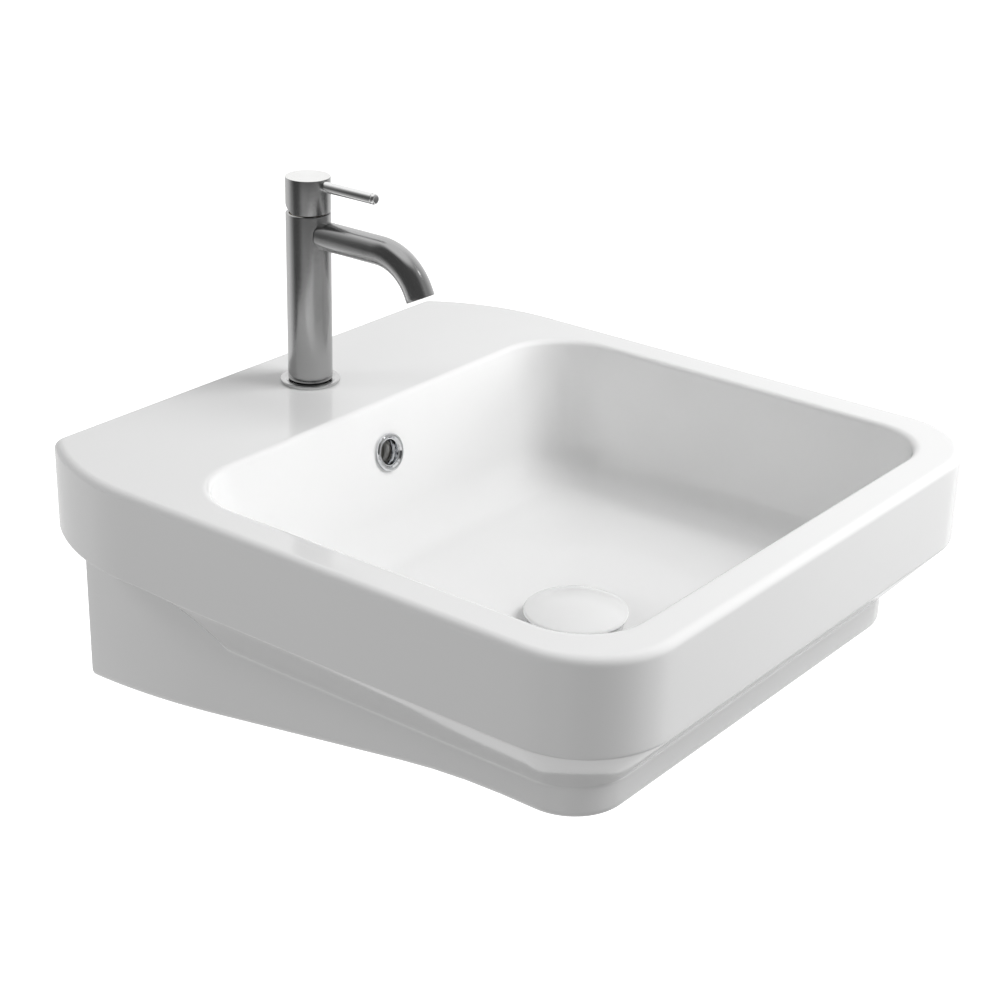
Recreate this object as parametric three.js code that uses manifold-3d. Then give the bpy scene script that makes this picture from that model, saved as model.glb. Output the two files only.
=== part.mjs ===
// Wall-hung washbasin with a single-lever mixer tap, an overflow ring and a push-to-close waste.
// Millimetres, +Z up. The origin is on the flat back of the ceramic, midway between the two fixing holes;
// the wall is the plane Y = 0, the user stands on the -Y side and the left side is -X.
import * as THREE from "three";
import { mergeVertices } from "three/addons/utils/BufferGeometryUtils.js";
import Module from "manifold-3d";

const wasm = await Module();
wasm.setup();

// ---------------------------------------------------------------- driving dimensions

const rimHeight = 100; // rim plane above the fixing holes
const seatGap = 0.1; // between flat faces that bear on each other
const fitGap = 0.3; // between round or cut faces of neighbours
const roundSteps = 28; // segments of a large round piece
const smallSteps = 20; // segments of a small round piece

const basin = {
  half: 250, // half the overall width
  front: 527, // wall to the front face
  corner: 68, // front corner radius in plan
  wallHalf: 215, // half the width left at the wall
  backArc: 180, // radius of the sides' curve towards the wall
  edge: 5, // rounding of the rim's outer edge
  skirt: 70, // depth of the upright skirt
  bandInset: 43, // how far the band under the skirt runs in
  bandDrop: 51, // and how far it falls
  wallBandDrop: 15, // how far it falls near the wall
  foldStart: 120, // wall to where the band starts to deepen
  foldEnd: 170, // and to where it has its full depth
  bodyWallHalf: 193, // half the width of the shroud at the wall
  bodyBackArc: 810,
  bodyCorner: 42,
  wallDepth: 205, // lower end of the shroud below the rim, at the wall
  frontDepth: 146, // underside below the rim, at the front
  bendY: 355, // where the sloping underside turns level
  wall: 12, // thickness of the casting
  web: 14, // thickness of the wall web
  webDepth: 135, // lower edge of the wall web below the rim
  deck: 18, // thickness of the tap deck
};
const bowl = {
  half: 219, // half the width of the opening
  front: 496, // wall to the front of the opening
  back: 131, // wall to the back of the opening
  frontCorner: 50,
  backCorner: 57,
  lip: 4, // rounding of the opening's edge
  floor: 112, // depth at the foot of the walls
  fillet: 22, // between the walls and the floor
  level: 48, // the floor is level within this radius of the waste
  step: 0.4, // the level floor above the waste's seat
  sideSlope: 0.155, // how far the walls lean in for each mm of depth
  backSlope: 0.218,
  frontSlope: 0.14,
};
const fixing = { spread: 280, hole: 11 }; // hole is a radius, like every round size below
const overflow = { depth: 39.5, hole: 11, channelWidth: 28, channelGap: 9, cover: 7, boss: 8 };
const overflowRing = { outer: 15, bore: 8.5, flange: 3.4, sleeve: 12 };
const tap = {
  back: 58, // wall to the tap's axis
  column: 17.5,
  base: 3.2, // underside of the column above the deck
  top: 137.4, // top of the column above the deck
  shank: 15.5,
  holePlay: 2, // between the shank and the hole in the deck
  shankDepth: 14, // below the deck's surface
  chamber: 15,
  chamberFloor: 101,
  inletSpread: 6.4, // from the axis to each side
  inletOffset: 3.8, // the hose inlets lie this far in front of the axis
  inletPort: 3.2,
  hose: 5,
  hoseDepth: 12,
};
const flange = { outer: 23.5, play: 0.5, height: 2.7, groove: 1.3, lip: 1.7, bead: 1.4 };
const spout = {
  outer: 11.2,
  bore: 9.2,
  height: 122, // its axis above the deck
  straight: 72.3, // tap axis to the start of the bend
  bend: 42, // radius of the bend's centre line
  turn: 64, // degrees
  tail: 6.3, // straight end after the bend
};
const aerator = { recess: 1, wall: 1.6, length: 5.5, seal: 1, cell: 1.7 };
const stud = { radius: 3.9, offset: 9, bottom: 76, depth: 17.5 };
const clamp = { outer: 26, slot: 12, slotEnd: 2.5, rubber: 3, steel: 2, nut: 7.5, nutLength: 12 };
const cartridge = {
  outer: 12.5,
  bore: 10.8,
  seal: 0.9, // thickness of the inlet seals
  sealWidth: 1,
  lift: 0.4, // the base stands this far off the chamber's floor
  foot: 3, // height of the base's wide foot
  plug: 4.8, // height of the base's plug in the housing
  discHole: 2,
  portIn: 1.8, // the discs' ports lie this much nearer to the axis
  outlet: 2.6,
  outletOffset: 5.5,
  fixedDisc: 3,
  movingDisc: 2.8,
  movingRadius: 8.4,
  mixDepth: 1.6,
  carrier: 5.5,
  discOffset: 1.8, // moving disc behind the axis when the tap is shut
  plate: 3, // thickness of the housing's end plate
  top: 130.8,
  nutTop: 137,
};
const rotor = { flange: 10.4, neck: 8.5, flangeHeight: 3, top: 135, slot: 7, rise: 0.5 };
const lever = {
  pivot: 128.8, // tilt axis above the deck
  ball: 2.8, // radius of the stem's ball end
  ballDrop: 9.8, // ball centre below the tilt axis
  ballNeck: 1.9,
  stem: 6, // square section
  stemFoot: 122,
  stemTop: 159.8,
  capGap: 1.4, // cap above the column
  capHeight: 27.2,
  capCut: 27, // degrees, the rising cut under the back of the cap
  cavity: 13,
  cavityTop: 152.5,
  rod: 4.25,
  rodHeight: 160.6,
  rodTip: 69, // tap axis to the rod's tip
  rodRoot: 8.6, // tap axis to the rod's inner end
  groove: 0.5,
  pin: 1.2,
  grub: 2.4,
  grubLength: 7,
  grubHeight: 156,
};
const waste = {
  y: 324, // wall to the waste's axis
  seat: 126, // seat below the rim
  seatRadius: 36,
  spotFace: 145, // level face for the lower gasket, below the rim
  spotRadius: 38,
  flange: 32,
  flangeHeight: 1.6,
  tube: 20.8,
  holePlay: 1.7, // between the tube and the hole in the ceramic
  bore: 18,
  length: 66, // tube below the flange
  gasket: 1.2,
  slotWidth: 14,
  slotTop: 131,
  slotHeight: 7,
  lowerGasket: 6,
  lowerGasketRadius: 30,
  nut: 29,
  nutHeight: 11,
  spider: 150,
  spiderHeight: 4,
  arm: 4,
  hub: 10,
};
const click = {
  outer: 7,
  bore: 5.5,
  top: 124, // below the rim, like every level of the waste
  foot: 166,
  floor: 2,
  collar: 1.6,
  shoulder: 8.6,
  shoulderHeight: 2.6,
};
const plunger = { rod: 3.8, foot: 5.2, footTop: 134.4, footHeight: 3.4 };
const cap = {
  radius: 39.5,
  edgeDepth: 118.5, // lower edge below the rim when raised
  rimHeight: 3,
  dome: 8.5, // rise of the dome above its rim
  recess: 28, // radius of the hollow's flat top under the dome
  recessDepth: 113.9,
  hollowDepth: 116.5, // where the hollow is wide enough to pass the waste's flange
  play: 1, // between the hollow and the flange when the cap is down
  carrier: 21.7,
  carrierHeight: 3,
  rodSocket: 3.3, // how far the rod runs into the ceramic
};
const spring = { wire: 0.6, radius: 4.4, turns: 6 };

// ---------------------------------------------------------------- materials

const finish = (color, roughness, metalness) =>
  new THREE.MeshStandardMaterial({ color, roughness, metalness });
const ceramic = () => finish(0xf2f2f0, 0.12, 0);
const brushed = () => finish(0x8f8f8d, 0.38, 1);
const chrome = () => finish(0xc9ccce, 0.1, 1);
const brass = () => finish(0xb8965a, 0.35, 1);
const rubber = () => finish(0x26262a, 0.85, 0);
const plastic = (color) => finish(color, 0.5, 0);
const alumina = () => finish(0xe9e6df, 0.3, 0);

// ---------------------------------------------------------------- solids from geometries

function solid(geometry) {
  const bare = geometry.clone();
  bare.deleteAttribute("normal");
  bare.deleteAttribute("uv");
  const merged = mergeVertices(bare, 1e-4);
  return new wasm.Manifold(
    new wasm.Mesh({
      numProp: 3,
      vertProperties: Float32Array.from(merged.attributes.position.array),
      triVerts: Uint32Array.from(merged.index.array),
    }),
  );
}

function geometryOf(body) {
  const { vertProperties, triVerts } = body.getMesh();
  const geometry = new THREE.BufferGeometry();
  geometry.setAttribute("position", new THREE.BufferAttribute(vertProperties, 3));
  geometry.setIndex(new THREE.BufferAttribute(triVerts, 1));
  const flat = geometry.toNonIndexed();
  flat.computeVertexNormals();
  return flat;
}

// A closed mesh through rings of equal length, each ring counterclockwise from above, lowest ring first.
function loft(rings) {
  const count = rings[0].length;
  const positions = rings.flat().flatMap((p) => [p.x, p.y, p.z]);
  const index = [];
  for (let r = 0; r + 1 < rings.length; r++) {
    for (let i = 0; i < count; i++) {
      const a = r * count + i;
      const b = r * count + ((i + 1) % count);
      index.push(a, b, b + count, a, b + count, a + count);
    }
  }
  const flatten = (points) => points.map((p) => new THREE.Vector2(p.x, p.y));
  const capOf = (points) => THREE.ShapeUtils.triangulateShape(flatten(points), []);
  const last = (rings.length - 1) * count;
  for (const [a, b, c] of capOf(rings[0])) index.push(a, c, b);
  for (const [a, b, c] of capOf(rings[rings.length - 1])) index.push(last + a, last + b, last + c);
  const geometry = new THREE.BufferGeometry();
  geometry.setAttribute("position", new THREE.Float32BufferAttribute(positions, 3));
  geometry.setIndex(index);
  return solid(geometry);
}

// A body of revolution about Z from [radius, height] points that run up the outside and down the inside.
function turned(profile, steps = smallSteps) {
  const points = profile.map(([r, z]) => new THREE.Vector2(r, z));
  if (profile[0][0] > 0) points.push(points[0].clone());
  return solid(new THREE.LatheGeometry(points, steps).rotateX(Math.PI / 2));
}
const disc = (radius, low, high, steps) =>
  turned([[0, low], [radius, low], [radius, high], [0, high]], steps);
const ring = (outer, inner, low, high, steps) =>
  turned([[outer, low], [outer, high], [inner, high], [inner, low]], steps);

// A cylinder along Y between two values of Y.
function crossBore(radius, x, z, y0, y1, steps = smallSteps) {
  const length = Math.abs(y1 - y0);
  return solid(new THREE.CylinderGeometry(radius, radius, length, steps).translate(x, (y0 + y1) / 2, z));
}

function block(x0, x1, y0, y1, z0, z1) {
  const box = new THREE.BoxGeometry(x1 - x0, y1 - y0, z1 - z0);
  return solid(box.translate((x0 + x1) / 2, (y0 + y1) / 2, (z0 + z1) / 2));
}

// A prism of a closed outline in the YZ plane, running from -halfWidth to halfWidth along X.
function prismAlongX(outline, halfWidth) {
  const shape = new THREE.Shape(outline.map(([y, z]) => new THREE.Vector2(y, z)));
  const geometry = new THREE.ExtrudeGeometry(shape, { depth: 2 * halfWidth, bevelEnabled: false });
  geometry.applyMatrix4(new THREE.Matrix4().set(0, 0, 1, -halfWidth, 1, 0, 0, 0, 0, 1, 0, 0, 0, 0, 0, 1));
  return solid(geometry);
}

const rimZ = (depth) => rimHeight - depth; // height of a point a given depth below the rim
const deckZ = (height) => rimHeight + height; // height of a point a given height above the deck

const root = new THREE.Group();

function add(name, body, material, x = 0, y = 0) {
  const mesh = new THREE.Mesh(geometryOf(body), material);
  mesh.name = name;
  mesh.position.set(x, y, 0);
  root.add(mesh);
}
const addTap = (name, body, material) => add(name, body, material, 0, -tap.back);
const addWaste = (name, body, material) => add(name, body, material, 0, -waste.y);

// ---------------------------------------------------------------- basin

function arc(cx, cy, radius, from, to, steps) {
  const points = [];
  for (let i = 0; i <= steps; i++) {
    const a = THREE.MathUtils.degToRad(from + ((to - from) * i) / steps);
    points.push([cx + radius * Math.cos(a), cy + radius * Math.sin(a)]);
  }
  return points;
}

// Plan of the skirt or of the shroud: flat at the wall, curved-in sides, rounded front corners.
function planRing(size, inset, z) {
  const half = size.half - inset;
  const front = size.front - inset;
  const bend = size.backArc - inset;
  const sweep = THREE.MathUtils.radToDeg(Math.acos(1 - (size.half - size.wallHalf) / bend));
  const reach = bend * Math.sin(THREE.MathUtils.degToRad(sweep));
  const corner = size.corner - inset;
  const left = [
    ...arc(-half + bend, -reach, bend, 180 - sweep, 180, 5),
    [-half, -basin.foldEnd],
    ...arc(-half + corner, -front + corner, corner, 180, 270, 8),
  ];
  const right = left.map(([x, y]) => [-x, y]).reverse();
  return [...left, ...right].map(([x, y]) => new THREE.Vector3(x, y, z));
}

const shroud = {
  half: basin.half - basin.bandInset,
  front: basin.front - basin.bandInset,
  corner: basin.bodyCorner,
  wallHalf: basin.bodyWallHalf,
  backArc: basin.bodyBackArc,
};

function edgeRings(size, radius, steps) {
  const rings = [];
  for (let i = 0; i <= steps; i++) {
    const a = (i / steps) * (Math.PI / 2);
    rings.push([radius * (1 - Math.cos(a)), radius * (1 - Math.sin(a))]);
  }
  return rings;
}

// Under the skirt the band runs in to the shroud, steeply at the front and almost level near the wall.
function bandZ(y) {
  const t = THREE.MathUtils.smoothstep(-y, basin.foldStart, basin.foldEnd);
  return rimZ(basin.skirt + THREE.MathUtils.lerp(basin.wallBandDrop, basin.bandDrop, t));
}
const skirtSolid = loft([
  planRing(shroud, 0, 0).map((point) => point.setZ(bandZ(point.y))),
  planRing(basin, 0, rimZ(basin.skirt)),
  ...edgeRings(basin, basin.edge, 3).map(([inset, depth]) => planRing(basin, inset, rimZ(depth))),
]);
const shroudSolid = loft([
  planRing(shroud, 0, rimZ(basin.wallDepth)),
  planRing(shroud, 0, rimZ(basin.skirt + basin.wallBandDrop / 3)),
]);

// What lies below the sloping underside.
const below = basin.wallDepth + 50;
const undersideCut = prismAlongX(
  [
    [10, rimZ(basin.wallDepth)],
    [0, rimZ(basin.wallDepth)],
    [-basin.bendY, rimZ(basin.frontDepth)],
    [-basin.front - 10, rimZ(basin.frontDepth)],
    [-basin.front - 10, rimZ(below)],
    [10, rimZ(below)],
  ],
  basin.half + 10,
);

// One ring of the bowl: a rounded rectangle that leans in with depth, plus a fillet inset.
function bowlRing(depth, inset) {
  const half = bowl.half - bowl.sideSlope * depth - inset;
  const front = bowl.front - bowl.frontSlope * depth - inset;
  const back = bowl.back + bowl.backSlope * depth + inset;
  const lean = Math.max(inset, 0) * 0.6 + bowl.sideSlope * depth * 0.5;
  const rf = bowl.frontCorner - lean;
  const rb = bowl.backCorner - lean;
  return [
    ...arc(-half + rb, -back - rb, rb, 90, 180, 8),
    ...arc(-half + rf, -front + rf, rf, 180, 270, 8),
    ...arc(half - rf, -front + rf, rf, 270, 360, 8),
    ...arc(half - rb, -back - rb, rb, 0, 90, 8),
  ];
}
const at = (points, z) => points.map(([x, y]) => new THREE.Vector3(x, y, z));

const wallEnd = bowl.floor - bowl.fillet;
const filletRings = [90, 67.5, 45, 22.5, 0].map((degrees) => {
  const a = THREE.MathUtils.degToRad(degrees);
  const ringPoints = bowlRing(wallEnd, bowl.fillet * (1 - Math.cos(a)));
  return at(ringPoints, rimZ(wallEnd + bowl.fillet * Math.sin(a)));
});
const drainRing = filletRings[0].map((p) => {
  const a = Math.atan2(p.y + waste.y, p.x);
  const r = bowl.level;
  return new THREE.Vector3(r * Math.cos(a), r * Math.sin(a) - waste.y, rimZ(waste.seat - bowl.step));
});
const bowlSolid = loft([
  drainRing,
  ...filletRings,
  at(bowlRing(bowl.lip, 0), rimZ(bowl.lip)),
  at(bowlRing(0, -0.3 * bowl.lip), rimZ(0.3 * bowl.lip)),
  at(bowlRing(0, -bowl.lip), rimZ(0)),
  at(bowlRing(0, -bowl.lip), rimZ(-5)),
]);

// The bowl's back wall, and faces that follow it at a distance behind it.
const behind = (depth, distance) => -bowl.back - bowl.backSlope * depth + distance;
const heel = bowl.back + 34; // wall to the bend between the bowl's back and its floor
const shellUnder = (y) => bowl.floor + (waste.seat - bowl.floor) * ((-y - heel) / (waste.y - heel));

// The hollow behind and under the bowl, open downwards and, below the wall web, towards the wall.
const hollowFront = -waste.y + waste.spotRadius + 7; // the casting stays solid round the waste
const hollow = prismAlongX(
  [
    [-basin.web, rimZ(basin.deck)],
    [-basin.web, rimZ(basin.webDepth)],
    [10, rimZ(basin.webDepth)],
    [10, rimZ(below)],
    [hollowFront, rimZ(below)],
    [hollowFront, rimZ(shellUnder(hollowFront) + basin.wall)],
    [-heel, rimZ(shellUnder(-heel) + basin.wall + 4)],
    [behind(bowl.floor, basin.wall) - 4, rimZ(bowl.floor + basin.wall)],
    [behind(bowl.floor, basin.wall), rimZ(bowl.floor)],
    [behind(basin.deck, basin.wall), rimZ(basin.deck)],
  ],
  basin.bodyWallHalf - basin.wall,
);

// The overflow channel runs down behind the bowl and under its floor into the waste hole, inside a rib.
const channelTop = overflow.depth - overflow.hole - 2;
const channelOut = overflow.cover + overflow.channelGap;
const ribOut = channelOut + overflow.boss;
const wasteHole = waste.tube + waste.holePlay;
const channelEnd = -waste.y + wasteHole - 2;
const channel = prismAlongX(
  [
    [behind(channelTop, overflow.cover), rimZ(channelTop)],
    [behind(channelTop, channelOut), rimZ(channelTop)],
    [behind(bowl.floor, channelOut), rimZ(bowl.floor)],
    [9 - heel, rimZ(bowl.floor + channelOut)],
    [channelEnd, rimZ(waste.slotTop + waste.slotHeight)],
    [channelEnd, rimZ(waste.slotTop)],
    [3 - heel, rimZ(bowl.floor + overflow.cover + 1)],
    [behind(bowl.floor - 8, overflow.cover), rimZ(bowl.floor - 8)],
  ].reverse(),
  overflow.channelWidth / 2,
);
const rib = prismAlongX(
  [
    [behind(basin.deck - 1, ribOut), rimZ(basin.deck - 1)],
    [behind(basin.deck - 1, 4), rimZ(basin.deck - 1)],
    [behind(bowl.floor - 8, 3), rimZ(bowl.floor - 8)],
    [5 - heel, rimZ(bowl.floor + 4)],
    [hollowFront - 2, rimZ(waste.slotTop - 4)],
    [hollowFront - 2, rimZ(waste.slotTop + waste.slotHeight + overflow.boss)],
    [13 - heel, rimZ(bowl.floor + ribOut)],
    [behind(bowl.floor + 4, ribOut), rimZ(bowl.floor + 4)],
  ],
  overflow.channelWidth / 2 + overflow.boss,
);

const placed = (body, x, y, z = 0, turnX = 0) => {
  const turn = new THREE.Matrix4().makeRotationX(THREE.MathUtils.degToRad(turnX));
  return solid(geometryOf(body).applyMatrix4(turn).translate(x, y, z));
};
// Stands a piece that was turned about Z on the bowl's back wall, pointing into the bowl.
const onBackWall = (body, depth) => {
  const lean = THREE.MathUtils.radToDeg(Math.atan(bowl.backSlope));
  return placed(body, 0, behind(depth, 0), rimZ(depth), 90 - lean);
};
const overflowHole = onBackWall(disc(overflow.hole, -channelOut + 1, 5), overflow.depth);
const wasteHoles = disc(wasteHole, rimZ(basin.wallDepth), rimZ(bowl.floor), roundSteps)
  .add(disc(waste.seatRadius, rimZ(waste.seat), rimZ(bowl.floor - 10), roundSteps))
  .add(disc(waste.spotRadius, rimZ(below), rimZ(waste.spotFace), roundSteps));

const basinSolid = skirtSolid
  .add(shroudSolid)
  .subtract(undersideCut)
  .subtract(bowlSolid)
  .subtract(hollow)
  .add(rib)
  .subtract(channel)
  .subtract(placed(wasteHoles, 0, -waste.y))
  .subtract(placed(disc(tap.shank + tap.holePlay, rimZ(basin.deck + 5), rimZ(-5), roundSteps), 0, -tap.back))
  .subtract(overflowHole)
  .subtract(crossBore(fixing.hole, -fixing.spread / 2, 0, -basin.web - 5, 5))
  .subtract(crossBore(fixing.hole, fixing.spread / 2, 0, -basin.web - 5, 5));
add("basin", basinSolid, ceramic());

// Chrome overflow ring: a thick flange on the wall of the bowl and a sleeve in the hole.
const sleeveRadius = overflow.hole - fitGap;
const overflowRingSolid = turned(
  [
    [sleeveRadius, -overflowRing.sleeve],
    [sleeveRadius, seatGap],
    [overflowRing.outer, seatGap],
    [overflowRing.outer, overflowRing.flange - 0.8],
    [overflowRing.outer - 1.2, overflowRing.flange],
    [overflowRing.bore + 0.8, overflowRing.flange],
    [overflowRing.bore, overflowRing.flange - 1],
    [overflowRing.bore, -overflowRing.sleeve],
  ],
  roundSteps,
);
add("overflow_ring", onBackWall(overflowRingSolid, overflow.depth), chrome());

// ---------------------------------------------------------------- tap, fixed pieces

// Every tap piece is made about the tap's own axis, at its height above the deck.
const inlets = [-1, 1].map((side) => [side * tap.inletSpread, -tap.inletOffset]);
const ports = inlets.map(([x, y]) => [x - Math.sign(x) * cartridge.portIn, y + cartridge.portIn / 2]);

// Brushed column with its shank in the ceramic, the cartridge chamber and the hose inlets.
let column = turned(
  [
    [0, deckZ(-tap.shankDepth)],
    [tap.shank, deckZ(-tap.shankDepth)],
    [tap.shank, deckZ(tap.base)],
    [tap.column, deckZ(tap.base)],
    [tap.column, deckZ(tap.top - 0.5)],
    [tap.column - 0.5, deckZ(tap.top)],
    [tap.chamber, deckZ(tap.top)],
    [tap.chamber, deckZ(tap.chamberFloor)],
    [0, deckZ(tap.chamberFloor)],
  ],
  roundSteps,
);
for (const [x, y] of inlets) {
  const way = disc(tap.inletPort, deckZ(-tap.shankDepth - 1), deckZ(tap.chamberFloor + 1), 16);
  const socket = disc(tap.hose, deckZ(-tap.shankDepth - 1), deckZ(-tap.shankDepth + tap.hoseDepth), 16);
  column = column.subtract(placed(way.add(socket), x, y));
}
const studTop = deckZ(-tap.shankDepth + stud.depth);
const studHole = disc(stud.radius + fitGap, deckZ(-tap.shankDepth - 1), studTop + 1, 16);
column = column
  .subtract(placed(studHole, 0, stud.offset))
  .subtract(crossBore(spout.outer + fitGap, 0, deckZ(spout.height), -tap.chamber / 2, -tap.column - 2));
addTap("tap_body", column, brushed());

const flangeBore = tap.shank + flange.play;
const flangeSolid = turned(
  [
    [flange.outer, deckZ(fitGap)],
    [flange.outer, deckZ(flange.height - 1)],
    [flange.outer - 1.1, deckZ(flange.height)],
    [flange.outer - 3.9, deckZ(flange.height)],
    [flangeBore + 2.4, deckZ(flange.height - 1)],
    [flangeBore + 1, deckZ(flange.height - 1)],
    [flangeBore + 1, deckZ(tap.base - seatGap)],
    [flangeBore, deckZ(tap.base - seatGap)],
    [flangeBore, deckZ(fitGap)],
    [flangeBore + flange.bead, deckZ(fitGap)],
    [flangeBore + flange.bead, deckZ(flange.groove + seatGap)],
    [flange.outer - flange.lip, deckZ(flange.groove + seatGap)],
    [flange.outer - flange.lip, deckZ(fitGap)],
  ],
  roundSteps,
);
addTap("deck_flange", flangeSolid, chrome());
const gasketOuter = flange.outer - flange.lip - fitGap;
const gasketInner = flangeBore + flange.bead + fitGap;
const gasketSolid = ring(gasketOuter, gasketInner, deckZ(seatGap), deckZ(flange.groove), roundSteps);
addTap("deck_gasket", gasketSolid, rubber());

// The spout leaves the column level, bends down and ends in a short straight.
class SpoutPath extends THREE.Curve {
  constructor() {
    super();
    this.start = tap.chamber + fitGap;
    this.run = spout.straight - this.start;
    this.turn = THREE.MathUtils.degToRad(spout.turn);
    this.arcLength = spout.bend * this.turn;
    this.total = this.run + this.arcLength + spout.tail;
  }
  getPoint(t, target = new THREE.Vector3()) {
    const s = t * this.total;
    const level = Math.min(s, this.run);
    const a = THREE.MathUtils.clamp((s - this.run) / spout.bend, 0, this.turn);
    const tail = Math.max(s - this.run - this.arcLength, 0);
    const out = this.start + level + spout.bend * Math.sin(a) + tail * Math.cos(a);
    const down = spout.bend * (1 - Math.cos(a)) + tail * Math.sin(a);
    return target.set(0, -out, deckZ(spout.height) - down);
  }
}
const spoutPath = new SpoutPath();
const tubeSection = new THREE.Shape().absarc(0, 0, spout.outer, 0, 2 * Math.PI);
tubeSection.holes.push(new THREE.Path().absarc(0, 0, spout.bore, 0, 2 * Math.PI, true));
const tubeGeometry = new THREE.ExtrudeGeometry(tubeSection, {
  steps: 16,
  curveSegments: smallSteps / 2,
  extrudePath: spoutPath,
});
addTap("spout_tube", solid(tubeGeometry), brushed());

// Pieces in the mouth are turned about Z, with the mouth at zero, then laid along the spout's end.
const mouth = spoutPath.getPoint(1);
const inMouth = (body) => placed(body, mouth.x, mouth.y, mouth.z, 90 + spout.turn);
const aeratorOuter = spout.bore - fitGap;
const aeratorTop = -aerator.recess - aerator.length;
const lip = 0.8;
const aeratorHousing = turned([
  [aeratorOuter, aeratorTop],
  [aeratorOuter, -aerator.recess],
  [aeratorOuter - aerator.wall - lip, -aerator.recess],
  [aeratorOuter - aerator.wall - lip, -aerator.recess - lip],
  [aeratorOuter - aerator.wall, -aerator.recess - lip],
  [aeratorOuter - aerator.wall, aeratorTop],
]);
addTap("aerator_housing", inMouth(aeratorHousing), chrome());
let insert = disc(aeratorOuter - aerator.wall - 0.2, aeratorTop, -aerator.recess - lip - seatGap);
const cells = [[0, 0]];
for (let i = 0; i < 6; i++) cells.push([Math.cos((i * Math.PI) / 3), Math.sin((i * Math.PI) / 3)]);
for (const [x, y] of cells) {
  const pitch = 2.4 * aerator.cell;
  insert = insert.subtract(placed(disc(aerator.cell, aeratorTop - 1, 1, 6), x * pitch, y * pitch));
}
addTap("aerator_insert", inMouth(insert), plastic(0xd9dcdd));
const aeratorSealTop = aeratorTop - seatGap;
const aeratorSeal = ring(aeratorOuter, aeratorOuter - 2.2, aeratorSealTop - aerator.seal, aeratorSealTop);
addTap("aerator_seal", inMouth(aeratorSeal), rubber());

// Ceramic-disc cartridge, from the chamber's floor upwards.
const baseFoot = tap.chamberFloor + cartridge.lift;
const baseTop = baseFoot + cartridge.foot + cartridge.plug;
const sealOuter = tap.inletPort + cartridge.sealWidth;
const plugFoot = baseFoot + cartridge.foot;
let cartridgeBase = disc(cartridge.outer - seatGap, deckZ(baseFoot), deckZ(plugFoot)).add(
  disc(cartridge.bore - 0.2, deckZ(baseFoot), deckZ(baseTop)),
);
inlets.forEach(([x, y], i) => {
  const recessTop = tap.chamberFloor + seatGap + cartridge.seal + seatGap;
  const recess = disc(sealOuter + 0.2, deckZ(baseFoot - 1), deckZ(recessTop), 16);
  const lower = disc(cartridge.discHole + 0.4, deckZ(baseFoot - 1), deckZ(plugFoot + 1.6), 16);
  const upper = disc(cartridge.discHole, deckZ(plugFoot), deckZ(baseTop + 1), 16);
  cartridgeBase = cartridgeBase
    .subtract(placed(recess.add(lower), x, y))
    .subtract(placed(upper, ...ports[i]));
});
const outletHole = disc(cartridge.outlet, deckZ(baseFoot + 1), deckZ(baseTop + 1), 16);
const outletEnd = cartridge.outer + 1;
const outletLow = deckZ(baseFoot + 1);
const outletSlot = block(-2.4, 2.4, cartridge.outletOffset, outletEnd, outletLow, outletLow + 3);
cartridgeBase = cartridgeBase.subtract(placed(outletHole, 0, cartridge.outletOffset)).subtract(outletSlot);
addTap("cartridge_base", cartridgeBase, plastic(0xe3e3df));
["inlet_seal_left", "inlet_seal_right"].forEach((name, i) => {
  const sealLow = tap.chamberFloor + seatGap;
  const sealRing = ring(sealOuter, tap.inletPort, deckZ(sealLow), deckZ(sealLow + cartridge.seal), 16);
  addTap(name, placed(sealRing, ...inlets[i]), rubber());
});

const fixedLow = baseTop + seatGap;
const movingLow = fixedLow + cartridge.fixedDisc + seatGap;
const carrierLow = movingLow + cartridge.movingDisc + seatGap;
const carrierTop = carrierLow + cartridge.carrier;
let fixedDisc = disc(cartridge.bore - 0.2, deckZ(fixedLow), deckZ(movingLow - seatGap));
const portHole = disc(cartridge.discHole, deckZ(fixedLow - 1), deckZ(movingLow + 1), 16);
for (const [x, y] of ports) {
  fixedDisc = fixedDisc.subtract(placed(portHole, x, y));
}
const fixedOutlet = disc(cartridge.outlet, deckZ(fixedLow - 1), deckZ(movingLow + 1), 16);
addTap("fixed_disc", fixedDisc.subtract(placed(fixedOutlet, 0, cartridge.outletOffset)), alumina());

const neckHole = rotor.neck + 0.4;
const housingFoot = plugFoot + seatGap;
const cartridgeHousing = turned([
  [cartridge.outer, deckZ(housingFoot)],
  [cartridge.outer, deckZ(cartridge.top)],
  [neckHole, deckZ(cartridge.top)],
  [neckHole, deckZ(cartridge.top - cartridge.plate)],
  [cartridge.bore, deckZ(cartridge.top - cartridge.plate)],
  [cartridge.bore, deckZ(housingFoot)],
]);
addTap("cartridge_housing", cartridgeHousing, plastic(0xdfe0dc));
const nutLow = cartridge.top + seatGap;
const cartridgeNut = turned([
  [tap.chamber - fitGap, deckZ(nutLow)],
  [tap.chamber - fitGap, deckZ(cartridge.nutTop - 0.5)],
  [tap.chamber - fitGap - 0.5, deckZ(cartridge.nutTop)],
  [neckHole + 1.6, deckZ(cartridge.nutTop)],
  [neckHole + 0.6, deckZ(cartridge.nutTop - 1)],
  [neckHole + 0.6, deckZ(nutLow)],
]);
addTap("cartridge_nut", cartridgeNut, brass());

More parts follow.
